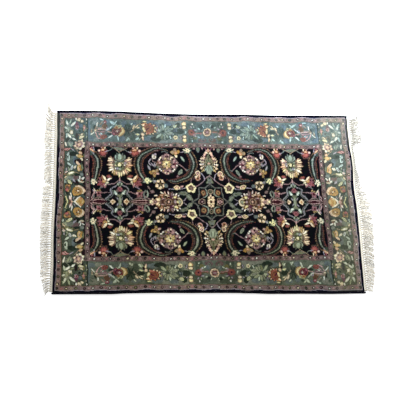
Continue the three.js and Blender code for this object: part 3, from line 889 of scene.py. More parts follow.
def border_leaves(q):
    """The long border's stems, then its leaves and petals."""
    stems(q, (
        ("fawn", 4, ((20, -4), (44, -3), (66, -6))), ("brown", 4, ((20, 3), (46, 3), (70, 0))),
        ("rose", 3.5, ((58, -3), (46, -4), (30, -5))), ("grey", 3, ((18, -22), (26, -32), (30, -44))),
        ("ink", 4, ((206, 2), (216, 3), (228, 6))), ("ink", 3.5, ((214, 0), (196, 24), (178, 38))),
        ("pink", 4.5, ((556, -2), (546, -22), (536, -34), (520, -40))),
        ("mauve", 6, ((558, 2), (542, -2), (524, -4), (506, -2))),
        ("fawn", 6, ((552, 8), (528, 8), (504, 6), (488, -4), (470, -10), (456, -12))),
        ("soot", 2.6, ((546, 3), (524, 2), (508, 1))),
        ("pink", 3, ((540, 8), (516, 7), (498, 1), (482, -8), (458, -12))),
        ("fawn", 4, ((550, 14), (534, 15), (518, 14))),
        ("fawn", 4.5, ((560, 6), (552, 14), (546, 26), (540, 34))),
        ("fawn", 4, ((384, -8), (368, 12), (350, 28), (334, 40))),
    ), BORDER_MID)
    blades(q, (
        (52, -19, 68, -22, 9, "grey 70 lilac 30 ivory"), (38, -31, 52, -21, 9, "grey 70 frost"),
        (52, 17, 68, 20, 10, "grey 70 lilac"), (34, 21, 50, 29, 11, "teal 70 mint 30 frost"),
        (16, -35, 24, -49, 8, "deep 60 grey"), (12, 23, 26, 51, 7, "forest 60 grey 40 frost", -3),
        (78, -53, 79, -38, 8, "forest 60 frost"), (74, -35, 90, -35, 8, "deep 60 sage"),
        (80, 25, 84, 37, 8, "dusk 60 lilac"), (68, 27, 66, 41, 8, "deep 60 sage"),
        (76, 41, 76, 55, 8, "forest 60 ivory"), (112, -9, 108, 7, 9, "forest 70 frost"),
        (172, 26, 150, 41, 16, "moss 80 butter 50 mint"), (132, 25, 146, 29, 9, "ink 70 lilac"),
        (134, -43, 138, -19, 9, "ink 66 lilac"), (160, -25, 152, -7, 12, "deep 60 teal"),
        (172, -5, 160, 15, 13, "navy 60 blue"), (196, -13, 182, -43, 11, "forest 70 frost", 3),
        (220, 1, 168, -14, 25, "ink 92 mint 80 grey 50 sage", 3),
        (216, 1, 170, 19, 22, "deep 84 sage 50 grey", -3), (224, -5, 196, -31, 16, "deep 76 sage", 4),
        (226, -7, 212, -45, 18, "deep 76 grey 40 sage", 4), (230, -7, 234, -41, 15, "deep 76 moss", -4),
        (232, -3, 267, -33, 16, "deep 76 sage 50 mint", -4), (236, 1, 271, -9, 15, "deep 76 grey", 3),
        (236, 3, 264, 21, 17, "deep 76 sage 50 mint", 3), (230, 7, 246, 39, 16, "deep 76 grey 40 sage"),
        (224, 7, 232, 43, 14, "deep 76 sage"), (217, 13, 216, 45, 12, "deep 84 frost"),
        (220, 7, 192, 37, 16, "deep 76 sage", 4), (256, 1, 258, 37, 9, "dusk 60 lilac", 2),
        (326, -25, 322, -51, 11, "brown 84 pink 50 butter"),
        (333, -15, 316, -14, 18, "soot 88 peach 50 cream", 3),
        (346, -49, 333, -33, 12, "deep 76 sage 50 mint"), (359, -47, 341, -31, 14, "deep 76 mint 50 frost"),
        (359, -15, 335, -11, 13, "deep 84 mint 50 butter", 4),
        (356, 23, 333, 19, 12, "deep 84 sage 50 cream", -4),
        (363, 17, 337, 45, 9, "forest 70 fawn 50 cream", 4), (374, 11, 359, 37, 11, "fawn 60 cream"),
        (382, 35, 367, 49, 10, "deep 76 frost"), (404, -53, 384, -37, 14, "deep 84 sage 60 frost", -3),
        (391, -35, 387, -51, 8, "sage 60 frost"), (446, -25, 434, -53, 10, "grey 70 frost", 4),
        (465, -21, 444, -28, 9, "sage 60 mint"), (495, -39, 465, -22, 12, "grey 76 frost 40 ivory", -5),
        (501, 3, 477, 13, 15, "grey 76 lilac 50 frost", -4), (481, 11, 465, 33, 8, "grey 60 frost", 3),
        (455, 33, 481, 53, 17, "deep 86 mint 60 frost"), (461, 37, 444, 53, 11, "deep 80 sage 50 frost"),
        (442, 23, 457, 37, 7, "sage"), (535, 23, 515, 49, 8, "grey 60 fawn", 3),
        (511, 49, 537, 58, 9, "teal 70 frost"), (545, 17, 547, 45, 8, "grey 66 ivory", 4),
        (573, 12, 575, -27, 10, "deep 84 sage 60 fawn", -3), (559, -3, 581, -25, 7, "sage 60 ivory"),
        (533, -9, 519, -17, 8, "deep 76 frost"), (539, -11, 525, -23, 7, "mauve 60 pink"),
        (583, 33, 567, 47, 9, "deep 60 teal"),
    ), "deep", BORDER_MID)


def border_rosettes(q):
    """The middle rosette and the dull red flower beyond it, then stacked flowers and a small round one."""
    rosette = "soot 96 brown 90 cream 80 peach 66 brown 58 fawn 44 wine 24 mauve"
    bloom(q, across(0, 0), 25, rosette, 8, 0.08, 0, 0.92)
    dots(q, across(0, 0), 3, [(k * 60, 11.5) for k in range(6)], "soot")
    bloom(q, across(82, 0), 20, "brown 90 wine 70 rust 46 wine 24 soot", 7, 0.12)
    gem(q, across(66, -13), (10, 6), "mauve", 120)
    gem(q, across(70, 14), (10, 6), "plum", 60)
    for side in (-1, 1):
        gem(q, across(117, side * 43), (12, 11), "soot 92 ochre 80 peach 60 butter", 90, 2.2)
        gem(q, across(117, side * 25), (13, 9), "soot 90 fawn 70 cream", 0, 2)
        gem(q, across(117, side * 34), (10, 3), "brown", 0, 2)
        bloom(q, across(138, side * 27), 4.4, "soot 70 lilac")
    bloom(q, across(163, -33), 12.5, "forest 92 butter 76 cream 40 brown 20 fawn", 5, 0.16)


def rust_palmette(q):
    """The rust palmette in petals of cream and gold."""
    petals(q, across(296, 12), 13, (
        (200, 40, 14, "ochre 70 peach 40 cream"), (168, 42, 14, "ochre 70 butter 40 mint"),
        (228, 36, 13, "ochre 70 cream"), (142, 40, 13, "brown 70 peach"),
        (258, 34, 14, "brown 70 cream 50 butter"), (108, 34, 12, "rust 70 orange"),
        (290, 36, 13, "brown 70 peach"), (330, 30, 10, "brown"), (62, 40, 12, "rust"),
        (40, 44, 11, "ochre 70 cream"),
    ))
    gem(q, across(294, 12), (27, 26), "soot 94 rust 60 brown 44 rust", 60, 1.8)
    leaf(q, across(316, -4), 44, 15, 140, "rust 60 wine 40 maroon")
    leaf(q, across(306, -16), 30, 12, 150, "rust 60 coral")
    leaf(q, across(300, 34), 26, 11, 196, "rust 60 wine")
    leaf(q, across(314, -6), 30, 14, 86, "soot 88 gold 70 butter 40 cream", -5)
    leaf(q, across(326, 38), 28, 10, 176, "soot 84 peach 60 orange")
    leaf(q, across(322, 50), 22, 8, 184, "ochre 60 butter")


def wine_flowers(q):
    """The wine rosette in its gold crescent, and the dull red flowers after it."""
    gem(q, across(448, -2), (22, 25), "soot 94 rust 80 wine 66 maroon 40 wine", 90, 1.8)
    gem(q, across(462, -16), (12, 9), "plum 60 rose", 60)
    arc = [across(*p) for p in ((436, -28), (422, -18), (416, -2), (422, 14))]
    crescent = ((-1, 1, "brown"), (-0.84, 0.8, "ochre"), (-0.7, 0.4, "gold"), (-0.5, 0, "cream", 0.6))
    ribbon(q, arc, (9, 20, 19, 9), crescent)
    gem(q, across(436, 21), (13, 9), "olive 84 butter 60 moss", 0, 1.7)
    gem(q, across(448, 18), (9, 8), "ochre 60 rust", 0, 1.7)
    bloom(q, across(442, -2), 10, "soot 80 pink 60 brown 40 ivory", 4, 0.3)
    # Two dull red flowers, a lilac disc with a dark heart, and the fan's knot.
    gem(q, across(514, -30), (13, 17), "soot 94 wine 84 rust 60 wine 40 brown 20 coral", 90, 1.7)
    gem(q, across(509, -28), (6, 8), "wine 50 brown", 90)
    bloom(q, across(505, 44), 11, "soot 90 wine 70 rose 44 wine", 6, 0.2)
    bloom(q, across(505, 42), 3.6, "pink 60 ivory")
    bloom(q, across(492, 14), 5, "lilac 56 soot")
    bloom(q, across(555, 2), 6, "fawn 50 cream")


def seam(q):
    """The seam with the end border: a dark line with a chain of small flowers."""
    q.block("forest", 591, 598, *BORDER_B)
    for a, v, radius, yarn in (
        (600, 55, 7, "ivory"), (602, 36, 5.5, "cream"), (601, 10, 6, "fawn"), (600, -18, 7, "mint"),
        (600, -36, 7, "butter"),
    ):
        bloom(q, across(a, v), radius, "forest 84 " + yarn, 4, 0.2)
    gem(q, across(600, -28), (12, 4), "grey", 90)


def end_border(q):
    """The broad border across an end, from its axis to the corner."""
    end_ground(q)
    axis_flowers(q)
    round_flowers(q)
    lilies(q)
    star_rosette(q, (635, 294))
    corner_flowers(q)


def end_ground(q):
    """The end border's ground with its patches, its stems, and its leaves."""
    q.block("deep", 600, 720, 0, 440)
    gems(q, (
        (612, 60, 8, 60, "soot"), (611, 190, 7, 90, "soot"), (666, 210, 18, 38, "teal"),
        (659, 214, 8, 26, "blue"), (655, 122, 18, 13, "dusk"), (648, 96, 16, 10, "soot"),
        (676, 86, 14, 12, "forest"), (700, 92, 6, 14, "forest"), (648, 140, 14, 10, "forest"),
        (640, 204, 20, 14, "soot"), (702, 10, 10, 14, "forest"), (694, 44, 12, 8, "forest"),
        (668, 74, 10, 8, "deep"), (632, 84, 24, 8, "forest"), (620, 22, 12, 14, "deep"),
        (692, 326, 20, 16, "forest"), (668, 316, 14, 10, "forest"), (666, 242, 26, 12, "forest"),
        (620, 268, 14, 14, "soot"), (646, 278, 8, 12, "forest"), (616, 340, 12, 14, "olive"),
        (648, 338, 7, 20, "soot"), (650, 400, 10, 14, "plum"), (628, 392, 12, 9, "blue"),
        (686, 300, 22, 12, "grey"), (690, 388, 12, 18, "grey"), (688, 374, 10, 14, "sage"),
        (690, 120, 18, 14, "sage"), (676, 118, 14, 12, "grey"), (623, 138, 10, 8, "grey"),
    ))
    stems(q, (
        ("sage", 4, ((690, 110), (687, 130), (684, 150), (692, 178))),
        ("sage", 4, ((700, 400), (688, 378), (682, 356), (676, 330))),
        ("grey", 4, ((696, 302), (684, 322), (672, 338))), ("fawn", 4, ((656, 274), (646, 266), (634, 248))),
        ("grey", 3.5, ((700, 84), (694, 98), (688, 112))), ("moss", 3.5, ((694, 36), (698, 24), (698, 8))),
        ("brown", 5, ((684, 14), (680, 6), (680, 0))),
    ))
    blades(q, (
        (656, 0, 628, 26, 13, "cream", 5), (671, 12, 682, 36, 9, "pink 60 ivory"),
        (667, 20, 672, 53, 8, "grey 60 ivory"), (661, 12, 650, 30, 7, "grey 60 lilac"),
        (700, 37, 702, 51, 8, "teal 60 sage"), (690, 108, 666, 84, 15, "moss 76 butter 44 mint", 2),
        (706, 90, 703, 113, 9, "grey 70 frost"), (665, 115, 650, 94, 10, "grey 70 lilac"),
        (706, 117, 692, 134, 9, "fawn 70 cream"), (712, 140, 690, 139, 9, "brown 60 fawn"),
        (702, 135, 655, 139, 13, "olive 66 moss", -3), (692, 141, 660, 153, 14, "moss 84 butter 56 ivory", 2),
        (662, 151, 634, 143, 7, "olive 60 fawn"), (708, 149, 692, 155, 12, "grey 80 ivory 40 pink"),
        (701, 158, 701, 178, 9, "grey 60 lilac"), (692, 153, 679, 172, 11, "teal 70 sage"),
        (678, 160, 670, 188, 13, "grey 80 frost 40 lilac"), (698, 201, 677, 180, 13, "grey 66 frost", -2),
        (666, 170, 648, 184, 12, "sage 80 ivory 40 cream"), (692, 205, 696, 252, 20, "grey 80 frost 24 deep"),
        (694, 238, 690, 254, 8, "teal 60 frost"), (706, 217, 700, 235, 8, "deep 60 grey"),
        (714, 268, 678, 268, 16, "wine 84 rose 50 pink"), (702, 260, 678, 273, 7, "red 70 pink"),
        (680, 274, 656, 258, 8, "grey 60 lilac", 4), (707, 312, 696, 281, 10, "grey 70 ivory", 2),
        (689, 310, 672, 279, 14, "grey 60 sage"), (672, 305, 668, 281, 8, "teal 60 mint"),
        (672, 333, 651, 318, 12, "sage 84 frost 50 ivory"), (695, 356, 704, 326, 11, "sage 84 frost"),
        (695, 354, 677, 330, 15, "sage 88 frost 60 ivory"), (676, 349, 658, 339, 9, "moss 60 sage"),
        (703, 358, 697, 372, 9, "deep 60 sage"), (645, 372, 655, 396, 13, "grey 84 lilac 50 ivory"),
        (710, 383, 692, 375, 14, "sage 80 frost 40 ivory"),
        (679, 391, 651, 417, 14, "sage 86 frost 60 ivory"),
        (695, 393, 704, 423, 13, "sage 80 frost 40 ivory"), (685, 402, 675, 433, 10, "deep 70 mint"),
        (666, 417, 658, 431, 10, "deep 60 teal"), (694, 427, 687, 436, 8, "deep 60 teal"),
        (663, 368, 670, 377, 9, "deep 60 sage"), (683, 358, 676, 387, 10, "grey 60 moss"),
    ))


def axis_flowers(q):
    """On the axis: an amber bud with a pale tip, a peach cross, and a pale crescent."""
    gem(q, (629, 0), (21, 28), "soot 94 amber 70 gold 40 amber", 0, 1.25)
    gem(q, (624, 14), (7, 6), "orange")
    ribbon(q, ((657, 0), (645, 11), (628, 25)), (9, 8, 4), ((-1, 1, "cream"), (-0.7, 0.3, "ivory")))
    stem(q, ((670, 0), (670, 24)), "pink", 6)
    gem(q, (669, 0), (8, 10), "brown 84 peach 50 pink")
    gem(q, (680, 10), (5, 7), "brown")
    ribbon(q, ((700, 30), (696, 18), (689, 0)), (4, 6, 8), ((-1, 1, "moss"), (-0.7, 0.7, "butter")))


def round_flowers(q):
    """A round amber flower, cream along one side, a coral one behind it, and a small one in white petals."""
    gem(q, (640, 54), (27, 24), "soot 94 amber 66 ochre 50 amber", 130, 1.7)
    rim = ((650, 76), (636, 78), (622, 70), (614, 54), (620, 40))
    ribbon(q, rim, (4, 10, 13, 11, 5), ((-1, 1, "fawn"), (-0.9, 0.8, "peach"), (-0.3, 0.7, "cream", 0.7)))
    dots(q, (638, 54), 4, ((20, 8), (100, 8), (180, 8), (260, 8)), "brown")
    dots(q, (638, 54), 3, ((60, 12), (210, 12), (320, 12)), "rust")
    bloom(q, (638, 54), 5, "brown 70 cream")
    gem(q, (689, 68), (21, 17), "soot 92 brown 84 ochre 60 brown 40 clay", 60, 1.6)
    gem(q, (692, 60), (10, 8), "wine 80 coral 50 rose")
    gem(q, (681, 78), (8, 7), "brown 70 orange")
    gem(q, (627, 111), (11, 11), "soot 90 rust 50 brown")
    blades(q, (
        (631, 112, 632, 133, 8, "sage 84 ivory"), (624, 114, 610, 126, 9, "sage 84 ivory"),
        (632, 100, 641, 116, 11, "sage 80 frost 40 ivory"), (636, 100, 611, 103, 8, "fawn 84 cream"),
    ))


def lilies(q):
    """The gold lilies, and the petals beyond the star rosette."""
    blades(q, (
        (650, 207, 630, 180, 15, "soot 90 cream 60 peach", -6),
        (634, 188, 636, 151, 24, "soot 92 amber 78 gold 40 peach"),
        (626, 188, 624, 156, 15, "olive 80 amber"), (620, 195, 614, 154, 12, "forest 80 olive 40 moss"),
        (652, 236, 628, 233, 15, "moss 70 cream"), (636, 256, 616, 246, 16, "brown 84 ochre 60 peach"),
        (644, 233, 612, 235, 20, "ochre 84 amber 60 gold"), (626, 229, 614, 211, 14, "olive 70 cream"),
        (610, 250, 608, 225, 8, "forest 70 olive"), (634, 337, 614, 351, 11, "fawn 70 cream"),
        (639, 326, 610, 337, 15, "moss 84 butter 60 cream"), (621, 324, 611, 318, 8, "soot"),
        (640, 349, 628, 341, 8, "brown 70 fawn"),
    ), "soot")


def star_rosette(q, at):
    """Eight pale petals round a pink disc."""
    for turn, length, layers in (
        (14, 30, "brown 86 cream 50 ivory"), (58, 31, "brown 86 cream 50 peach"),
        (102, 27, "brown 86 fawn 66 cream"), (150, 28, "brown 86 pink 60 cream"),
        (198, 30, "brown 86 pink 60 cream"), (246, 29, "brown 86 fawn 66 cream"),
        (286, 33, "brown 86 cream 50 ivory"), (330, 31, "brown 86 cream 50 ivory"),
    ):
        leaf(q, at, length, 19, 180 - turn, layers)
    bloom(q, at, 19, "fawn 84 pink 70 mauve 44 peach", 8, 0.14)
    dots(q, at, 4.2, ((50, 13), (250, 13), (330, 12)), "brown")


def corner_flowers(q):
    """Round the corner: an ivory flower, a green disc, a rose star, a spindle and the last gold flower."""
    bloom(q, (673, 361), 11, "forest 90 cream 60 ivory", 5, 0.2)
    bloom(q, (632, 366), 14, "forest 90 teal 62 deep 34 ink", 6, 0.1)
    bloom(q, (645, 386), 11, "soot 88 rose 66 pink 40 maroon", 5, 0.3)
    gem(q, (611, 380), (22, 8), "soot 85 ochre 60 rose 30 pink", 96)
    gem(q, (606, 368), (9, 5), "moss", 90)
    blades(q, (
        (644, 420, 624, 424, 17, "ochre 84 butter 60 cream"),
        (634, 424, 632, 439, 13, "fawn 84 cream 50 pink"), (628, 416, 612, 412, 14, "ochre 84 cream"),
        (646, 418, 650, 434, 9, "mauve 84 ivory"),
    ), "soot")


# The four quarters of the chart, each with the small slips of a hand-knotted copy.
chart = Quarter(HALF_LENGTH, HALF_WIDTH, KNOT)
field(chart)
long_border(chart)
end_border(chart)
guards(chart)
COLS, ROWS = 2 * len(chart.a), 2 * len(chart.b)


def woven(s, t):
    """The yarn number at places of the whole rug."""
    cols, rows = len(chart.a), len(chart.b)
    slip_a = SLIP * waves(s, t, 110, 3) * KNOT
    slip_b = SLIP * waves(s, t, 90, 4) * KNOT
    a = np.clip(((np.abs(s) + slip_a) / HALF_LENGTH * cols).astype(int), 0, cols - 1)
    b = np.clip(((np.abs(t) + slip_b) / HALF_WIDTH * rows).astype(int), 0, rows - 1)
    return chart.ink[b, a]


def linear(colour):
    """Linear light from sRGB, 0 to 255."""
    c = np.asarray(colour, float) / 255
    return np.where(c <= 0.04045, c / 12.92, ((c + 0.055) / 1.055) ** 2.4)


def dyed(s, t, ink):
    """The linear colour of each knot: its yarn, the bath it was dyed in, its own small difference, and a
    painted cast and haze of the light.
    """
    colour = linear(list(YARN.values()))[ink]
    # Each bath of yarn serves some rows of knots, and a row runs across the rug.
    bath = waves(s, 0 * t, 260, 5) + 0.5 * waves(s, 0 * t, 60, 6)
    light = 1 + 0.10 * bath + 0.08 * waves(s, t, 300, 8)
    # The near side is duller towards the right end.
    light = light * (1 - 0.13 * soft(s, 0, 500) * (1 - soft(s, 712, 716)) * (1 - soft(t, -50, 280)))
    # Wear and uneven spinning leave small light and dark blotches, and every knot differs a little.
    light = light * (1 + 0.13 * waves(s, t, 26, 14) + 0.09 * waves(s, t, 12, 15))
    knot = rng.normal(0, 1, np.shape(s))
    light = light * (1 + 0.15 * np.clip(knot, -2.5, 2.5))
    dye_tint_and_light_cast = 0.05 * waves(s, 0 * t, 180, 9)[..., None] * np.array([1, 0.2, -1.2])
    # The near side is painted warmer and the far side cooler, a painted colour cast of the light, the greens
    # most of all.
    far = (t / HALF_WIDTH)[..., None]
    green = (ink >= INK["olive"])[..., None]
    dye_tint_and_light_cast = dye_tint_and_light_cast + far * (np.array([0, 0, 0.05]) + green * np.array([-0.12, 0, 0.16]))
    # The field's dyes are the deepest, and those of its dark yarns most of all.
    in_field = (abs(s) < BANDS_A["field"]) & (abs(t) < BANDS_B["field"])
    depth = (colour @ (0.21, 0.72, 0.07) / 0.34) ** 0.2
    colour = colour * np.where(in_field, depth, 1)[..., None]
    # A painted haze greys the borders at the right end, and a little along the far side.
    painted_haze = 0.26 * soft(s, 585, 625) * (1 - soft(s, 730, 737))
    painted_haze = painted_haze + 0.22 * soft(t, 270, 320) * (1 - soft(t, 452, 457))
    colour = colour + painted_haze[..., None] * (linear((112, 116, 106)) - colour)
    # The dark yarns lean to plum or to bottle green.
    lean = 0.0025 * waves(s, t, 34, 16)[..., None] * np.array([1, -0.75, 0.1])
    return np.clip(colour * np.maximum(light, 0.3)[..., None] * (1 + dye_tint_and_light_cast) + lean, 0.0006, 1)


def placed(name, data):
    """A new object of the scene."""
    made = bpy.data.objects.new(name, data)
    bpy.context.scene.collection.objects.link(made)
    return made


def mesh_of(name, points, faces):
    """A mesh object from points in millimetres and arrays of faces."""
    mesh = bpy.data.meshes.new(name)
    mesh.vertices.add(len(points))
    mesh.vertices.foreach_set("co", (np.asarray(points) * MM).ravel())
    corners = np.concatenate([f.ravel() for f in faces])
    sizes = np.concatenate([np.full(len(f), f.shape[1]) for f in faces])
    mesh.loops.add(len(corners))
    mesh.loops.foreach_set("vertex_index", corners)
    mesh.polygons.add(len(sizes))
    mesh.polygons.foreach_set("loop_start", np.cumsum(sizes) - sizes)
    mesh.polygons.foreach_set("use_smooth", np.ones(len(sizes), bool))
    mesh.update(calc_edges=True)
    return placed(name, mesh)


def coloured(piece, colours):
    """Gives every corner its colour, (corner, 3)."""
    layer = piece.data.color_attributes.new("Yarn", "FLOAT_COLOR", "CORNER")
    layer.data.foreach_set("color", np.hstack([colours, np.ones((len(colours), 1))]).ravel())


def mapped(piece, places):
    """Gives every corner its place, (corner, 2), on the map that finishes are kept on."""
    layer = piece.data.uv_layers.new(name="OFBake")
    layer.data.foreach_set("uv", np.asarray(places).ravel())


def ladder(rect, number):
    """The plain underside of a block of knots, as long rungs with a fan at each end, facing down."""
    i0, i1, j0, j1 = rect
    if i1 - i0 < j1 - j0:
        quads, fans = ladder((j0, j1, i0, i1), number.T)
        return quads[:, ::-1], fans[:, ::-1]
    i, j = np.arange(i0 + 1, i1 - 1), np.arange(j0, j1)
    quads = np.stack([number[i, j0], number[i, j1], number[i + 1, j1], number[i + 1, j0]], 1)
    left, right = number[i0 + 1, j0], number[i1 - 1, j0]
    fans = [
        np.stack([np.full(len(j), left), number[i0, j], number[i0, j + 1]], 1),
        [[left, number[i0, j1], number[i0 + 1, j1]]],
        np.stack([np.full(len(j), right), number[i1, j + 1], number[i1, j]], 1),
        [[right, number[i1 - 1, j1], number[i1, j1]]],
    ]
    return quads, np.vstack(fans)


# A square's corners, turning left, and its four sides: the way to the neighbour, and the side's two ends.
CORNERS = ((0, 0), (1, 0), (1, 1), (0, 1))
SIDES = (
    ((0, -1), (0, 0), (1, 0)),
    ((0, 1), (1, 1), (0, 1)),
    ((-1, 0), (0, 1), (0, 0)),
    ((1, 0), (1, 0), (1, 1)),
)
# On the finishes' map: the margins, the width in use, the walls' row, and the spot of all plain faces.
MAP_GAP = 0.004
MAP_WIDE = 0.992
MAP_FIRST = 0.03
MAP_REST = 0.96
MAP_WALLS = (0.002, 0.02)
MAP_SPOT = 0.001


def slab(name, rects, grid, plain, s, t, flip=False):
    """A closed slab over blocks of squares (i0, i1, j0, j1) of a grid of points. Its fine face follows the
    grid and its plain face lies at height plain. flip turns it over, so that the fine face looks down."""
    wide, high = grid.shape[0] - 1, grid.shape[1] - 1
    mask = np.zeros((wide + 2, high + 2), bool)
    rim = np.zeros((wide + 1, high + 1), bool)
    used = np.zeros((wide + 1, high + 1), bool)
    for i0, i1, j0, j1 in rects:
        mask[i0 + 1 : i1 + 1, j0 + 1 : j1 + 1] = True
        used[i0 : i1 + 1, j0 : j1 + 1] = True
        rim[i0 : i1 + 1, (j0, j1)] = True
        rim[(i0, i1), j0 : j1 + 1] = True
    top = np.full(used.shape, -1)
    top[used] = np.arange(used.sum())
    under = np.full(used.shape, -1)
    under[rim] = used.sum() + np.arange(rim.sum())
    low = grid[rim].copy()
    low[:, 2] = plain

    i, j = np.nonzero(mask[1:-1, 1:-1])
    faces = np.stack([top[i + p, j + q] for p, q in CORNERS], 1)
    walls, wall_knots = [], []
    for way, start, end in SIDES:
        edge = ~mask[i + 1 + way[0], j + 1 + way[1]]
        a, b = (i[edge] + start[0], j[edge] + start[1]), (i[edge] + end[0], j[edge] + end[1])
        walls.append(np.stack([under[a], under[b], top[b], top[a]], 1))
        wall_knots.append(np.stack([i[edge], j[edge]], 1))
    walls, wall_knots = np.vstack(walls), np.vstack(wall_knots)
    rungs, fans = map(np.vstack, zip(*(ladder(rect, under) for rect in rects)))
    all_faces = [faces, walls, rungs, fans]
    if flip:
        all_faces = [f[:, ::-1] for f in all_faces]
    piece = mesh_of(name, np.vstack([grid[used], low]), all_faces)
    piece.data.set_sharp_from_angle(angle=math.radians(50))

    # A knot has one colour all over, and a side wall has its knot's colour, darkened by a fifth as painted
    # shade.
    knots = dyed(s, t, woven(s, t))
    wall_colours_painted_shade = np.repeat(knots[wall_knots[:, 0], wall_knots[:, 1]] * 0.8, 4, 0)
    plain_colours = np.tile(knots[i, j].mean(0), (4 * len(rungs) + 3 * len(fans), 1))
    coloured(piece, np.vstack([np.repeat(knots[i, j], 4, 0), wall_colours_painted_shade, plain_colours]))

    uv, wall_uv = block_places(rects, (wide, high), i, j), wall_places(len(walls))
    if flip:
        uv, wall_uv = uv[:, ::-1], wall_uv[:, ::-1]
    spots = np.full((len(plain_colours), 2), MAP_SPOT)
    mapped(piece, np.vstack([uv.reshape(-1, 2), wall_uv.reshape(-1, 2), spots]))
    return piece


def block_places(rects, size, i, j):
    """The map's places of the squares' corners: each block lies in a row of its own, on its long side."""
    shares = np.array([min(r[1] - r[0], r[3] - r[2]) for r in rects], float)
    rows = np.cumsum([MAP_FIRST, *(shares / shares.sum() * MAP_REST)])
    block = np.zeros(size, int)
    for k, (i0, i1, j0, j1) in enumerate(rects):
        block[i0:i1, j0:j1] = k
    block = block[i, j]
    left, right, near, far = np.array(rects, float)[block].T
    uv = []
    for p, q in CORNERS:
        u, v = (i + p - left) / (right - left), (j + q - near) / (far - near)
        lies = right - left < far - near
        u, v = np.where(lies, v, u), np.where(lies, u, v)
        v = rows[block] + MAP_GAP + v * (rows[block + 1] - rows[block] - 2 * MAP_GAP)
        uv.append(np.stack([MAP_GAP + MAP_WIDE * u, v], 1))
    return np.stack(uv, 1)


def wall_places(count):
    """The map's places of the walls' corners, in a thin row."""
    k = np.arange(count) / count
    low, high = MAP_WALLS
    return np.stack([np.stack([k + p / count, np.full(count, low + high * q)], 1) for p, q in CORNERS], 1)


def lines(count, half):
    """The lines between a number of even steps from -half to half."""
    return np.linspace(-half, half, count + 1)


def middles(count, half):
    """The middles of those steps."""
    return (np.arange(count) + 0.5) * 2 * half / count - half


def squares(places, cols, rows):
    """Lines or middles over the whole rug, as two grids."""
    return np.meshgrid(places(cols, HALF_LENGTH), places(rows, HALF_WIDTH), indexing="ij")


def pile_grid():
    """The corners of every knot, with the pile's uneven height and its rounded edge."""
    s, t = squares(lines, COLS, ROWS)
    to_edge = np.minimum(HALF_LENGTH - np.abs(s), HALF_WIDTH - np.abs(t))
    inside = to_edge > 1
    s_shift, t_shift, lift = rng.uniform(-1, 1, (3, *s.shape))
    x, y = laid(s + 0.3 * s_shift * inside, t + 0.3 * t_shift * inside)
    drop = ROUND_DROP * (1 - soft(to_edge, -ROUND_IN, ROUND_IN)) * 2
    z = PILE_TOP - np.minimum(drop, ROUND_DROP) + 0.3 * lift + 0.5 * waves(x, y, 150, 12)
    return np.stack([x, y, z], 2)


def pile():
    """The cut pile, as one slab for each band of the design, each with its flat size in metres."""
    grid = pile_grid()
    s, t = squares(middles, COLS, ROWS)
    knots_a, knots_b = len(chart.a) / HALF_LENGTH, len(chart.b) / HALF_WIDTH
    mid_i, mid_j = COLS // 2, ROWS // 2
    edges = {k: (round(BANDS_A[k] * knots_a), round(v * knots_b)) for k, v in BANDS_B.items()}

    def ring(outer, inner):
        """Four blocks round a field: two ends over the full height, and two sides between them."""
        (oi, oj), (ii, ij) = outer, inner
        return [
            (mid_i - oi, mid_i - ii, mid_j - oj, mid_j + oj),
            (mid_i + ii, mid_i + oi, mid_j - oj, mid_j + oj),
            (mid_i - ii, mid_i + ii, mid_j + ij, mid_j + oj),
            (mid_i - ii, mid_i + ii, mid_j - oj, mid_j - ij),
        ]

    i, j = edges["field"]
    borders = ring(edges["border"], edges["guard"])
    blocks = {
        "pile_field": [(mid_i - i, mid_i + i, mid_j - j, mid_j + j)],
        "pile_guard_inner": ring(edges["guard"], edges["field"]),
        "pile_border_left": [borders[0]],
        "pile_border_right": [borders[1]],
        "pile_border_far": [borders[2]],
        "pile_border_near": [borders[3]],
        "pile_guard_outer": ring((mid_i, mid_j), edges["border"]),
    }
    pieces = []
    for name, rects in blocks.items():
        piece = slab(name, rects, grid, BACK_TOP, s, t)
        area = sum((r[1] - r[0]) * (r[3] - r[2]) for r in rects) / knots_a / knots_b
        # A ring is as wide as its side blocks.
        strip = rects[2] if len(rects) > 1 else rects[0]
        width = (strip[3] - strip[2]) / knots_b
        pieces.append((piece, (width * MM, area / width * MM)))
    return pieces


def back():
    """The woven back, in the colours of the design, with its fine ribs."""
    cols, rows = round(COLS / BACK_SQUARES), round(ROWS / BACK_SQUARES)
    s, t = squares(lines, cols, rows)
    x, y = laid(s, t)
    z = 0.15 + 0.12 * rng.uniform(-1, 1, s.shape)
    places = squares(middles, cols, rows)
    return slab("rug_back", [(0, cols, 0, rows)], np.stack([x, y, z], 2), BACK_TOP, *places, flip=True)


def rings(path, way, aside, radius, sides, turn=0.0):
    """Rings of points round the steps of each path, (path, step, 3), square to its way, and their numbers."""
    way = way / np.linalg.norm(way, axis=2, keepdims=True)
    side = np.cross(way, aside)
    side /= np.linalg.norm(side, axis=2, keepdims=True)
    up = np.cross(side, way)
    angle = (np.arange(sides) + turn) * TURN / sides
    offset = np.cos(angle)[:, None] * side[:, :, None] + np.sin(angle)[:, None] * up[:, :, None]
    points = (path[:, :, None] + radius * offset).reshape(-1, 3)
    return points, np.arange(len(points)).reshape(*path.shape[:2], sides)


def tubes(path, radius, sides, turn=0.0):
    """Points and faces of closed tubes: path is (tube, step, 3) and radius (tube, step, 1 or side)."""
    points, number = rings(path, np.gradient(path, axis=1), (0, 0, 1), radius[..., None], sides, turn)
    after = np.roll(number, -1, 2)
    walls = np.stack([number[:, :-1], after[:, :-1], after[:, 1:], number[:, 1:]], -1)
    # A tube's walls turn round its way, and its caps close both ends.
    return points, [walls.reshape(-1, 4), number[:, 0, ::-1], number[:, -1]]


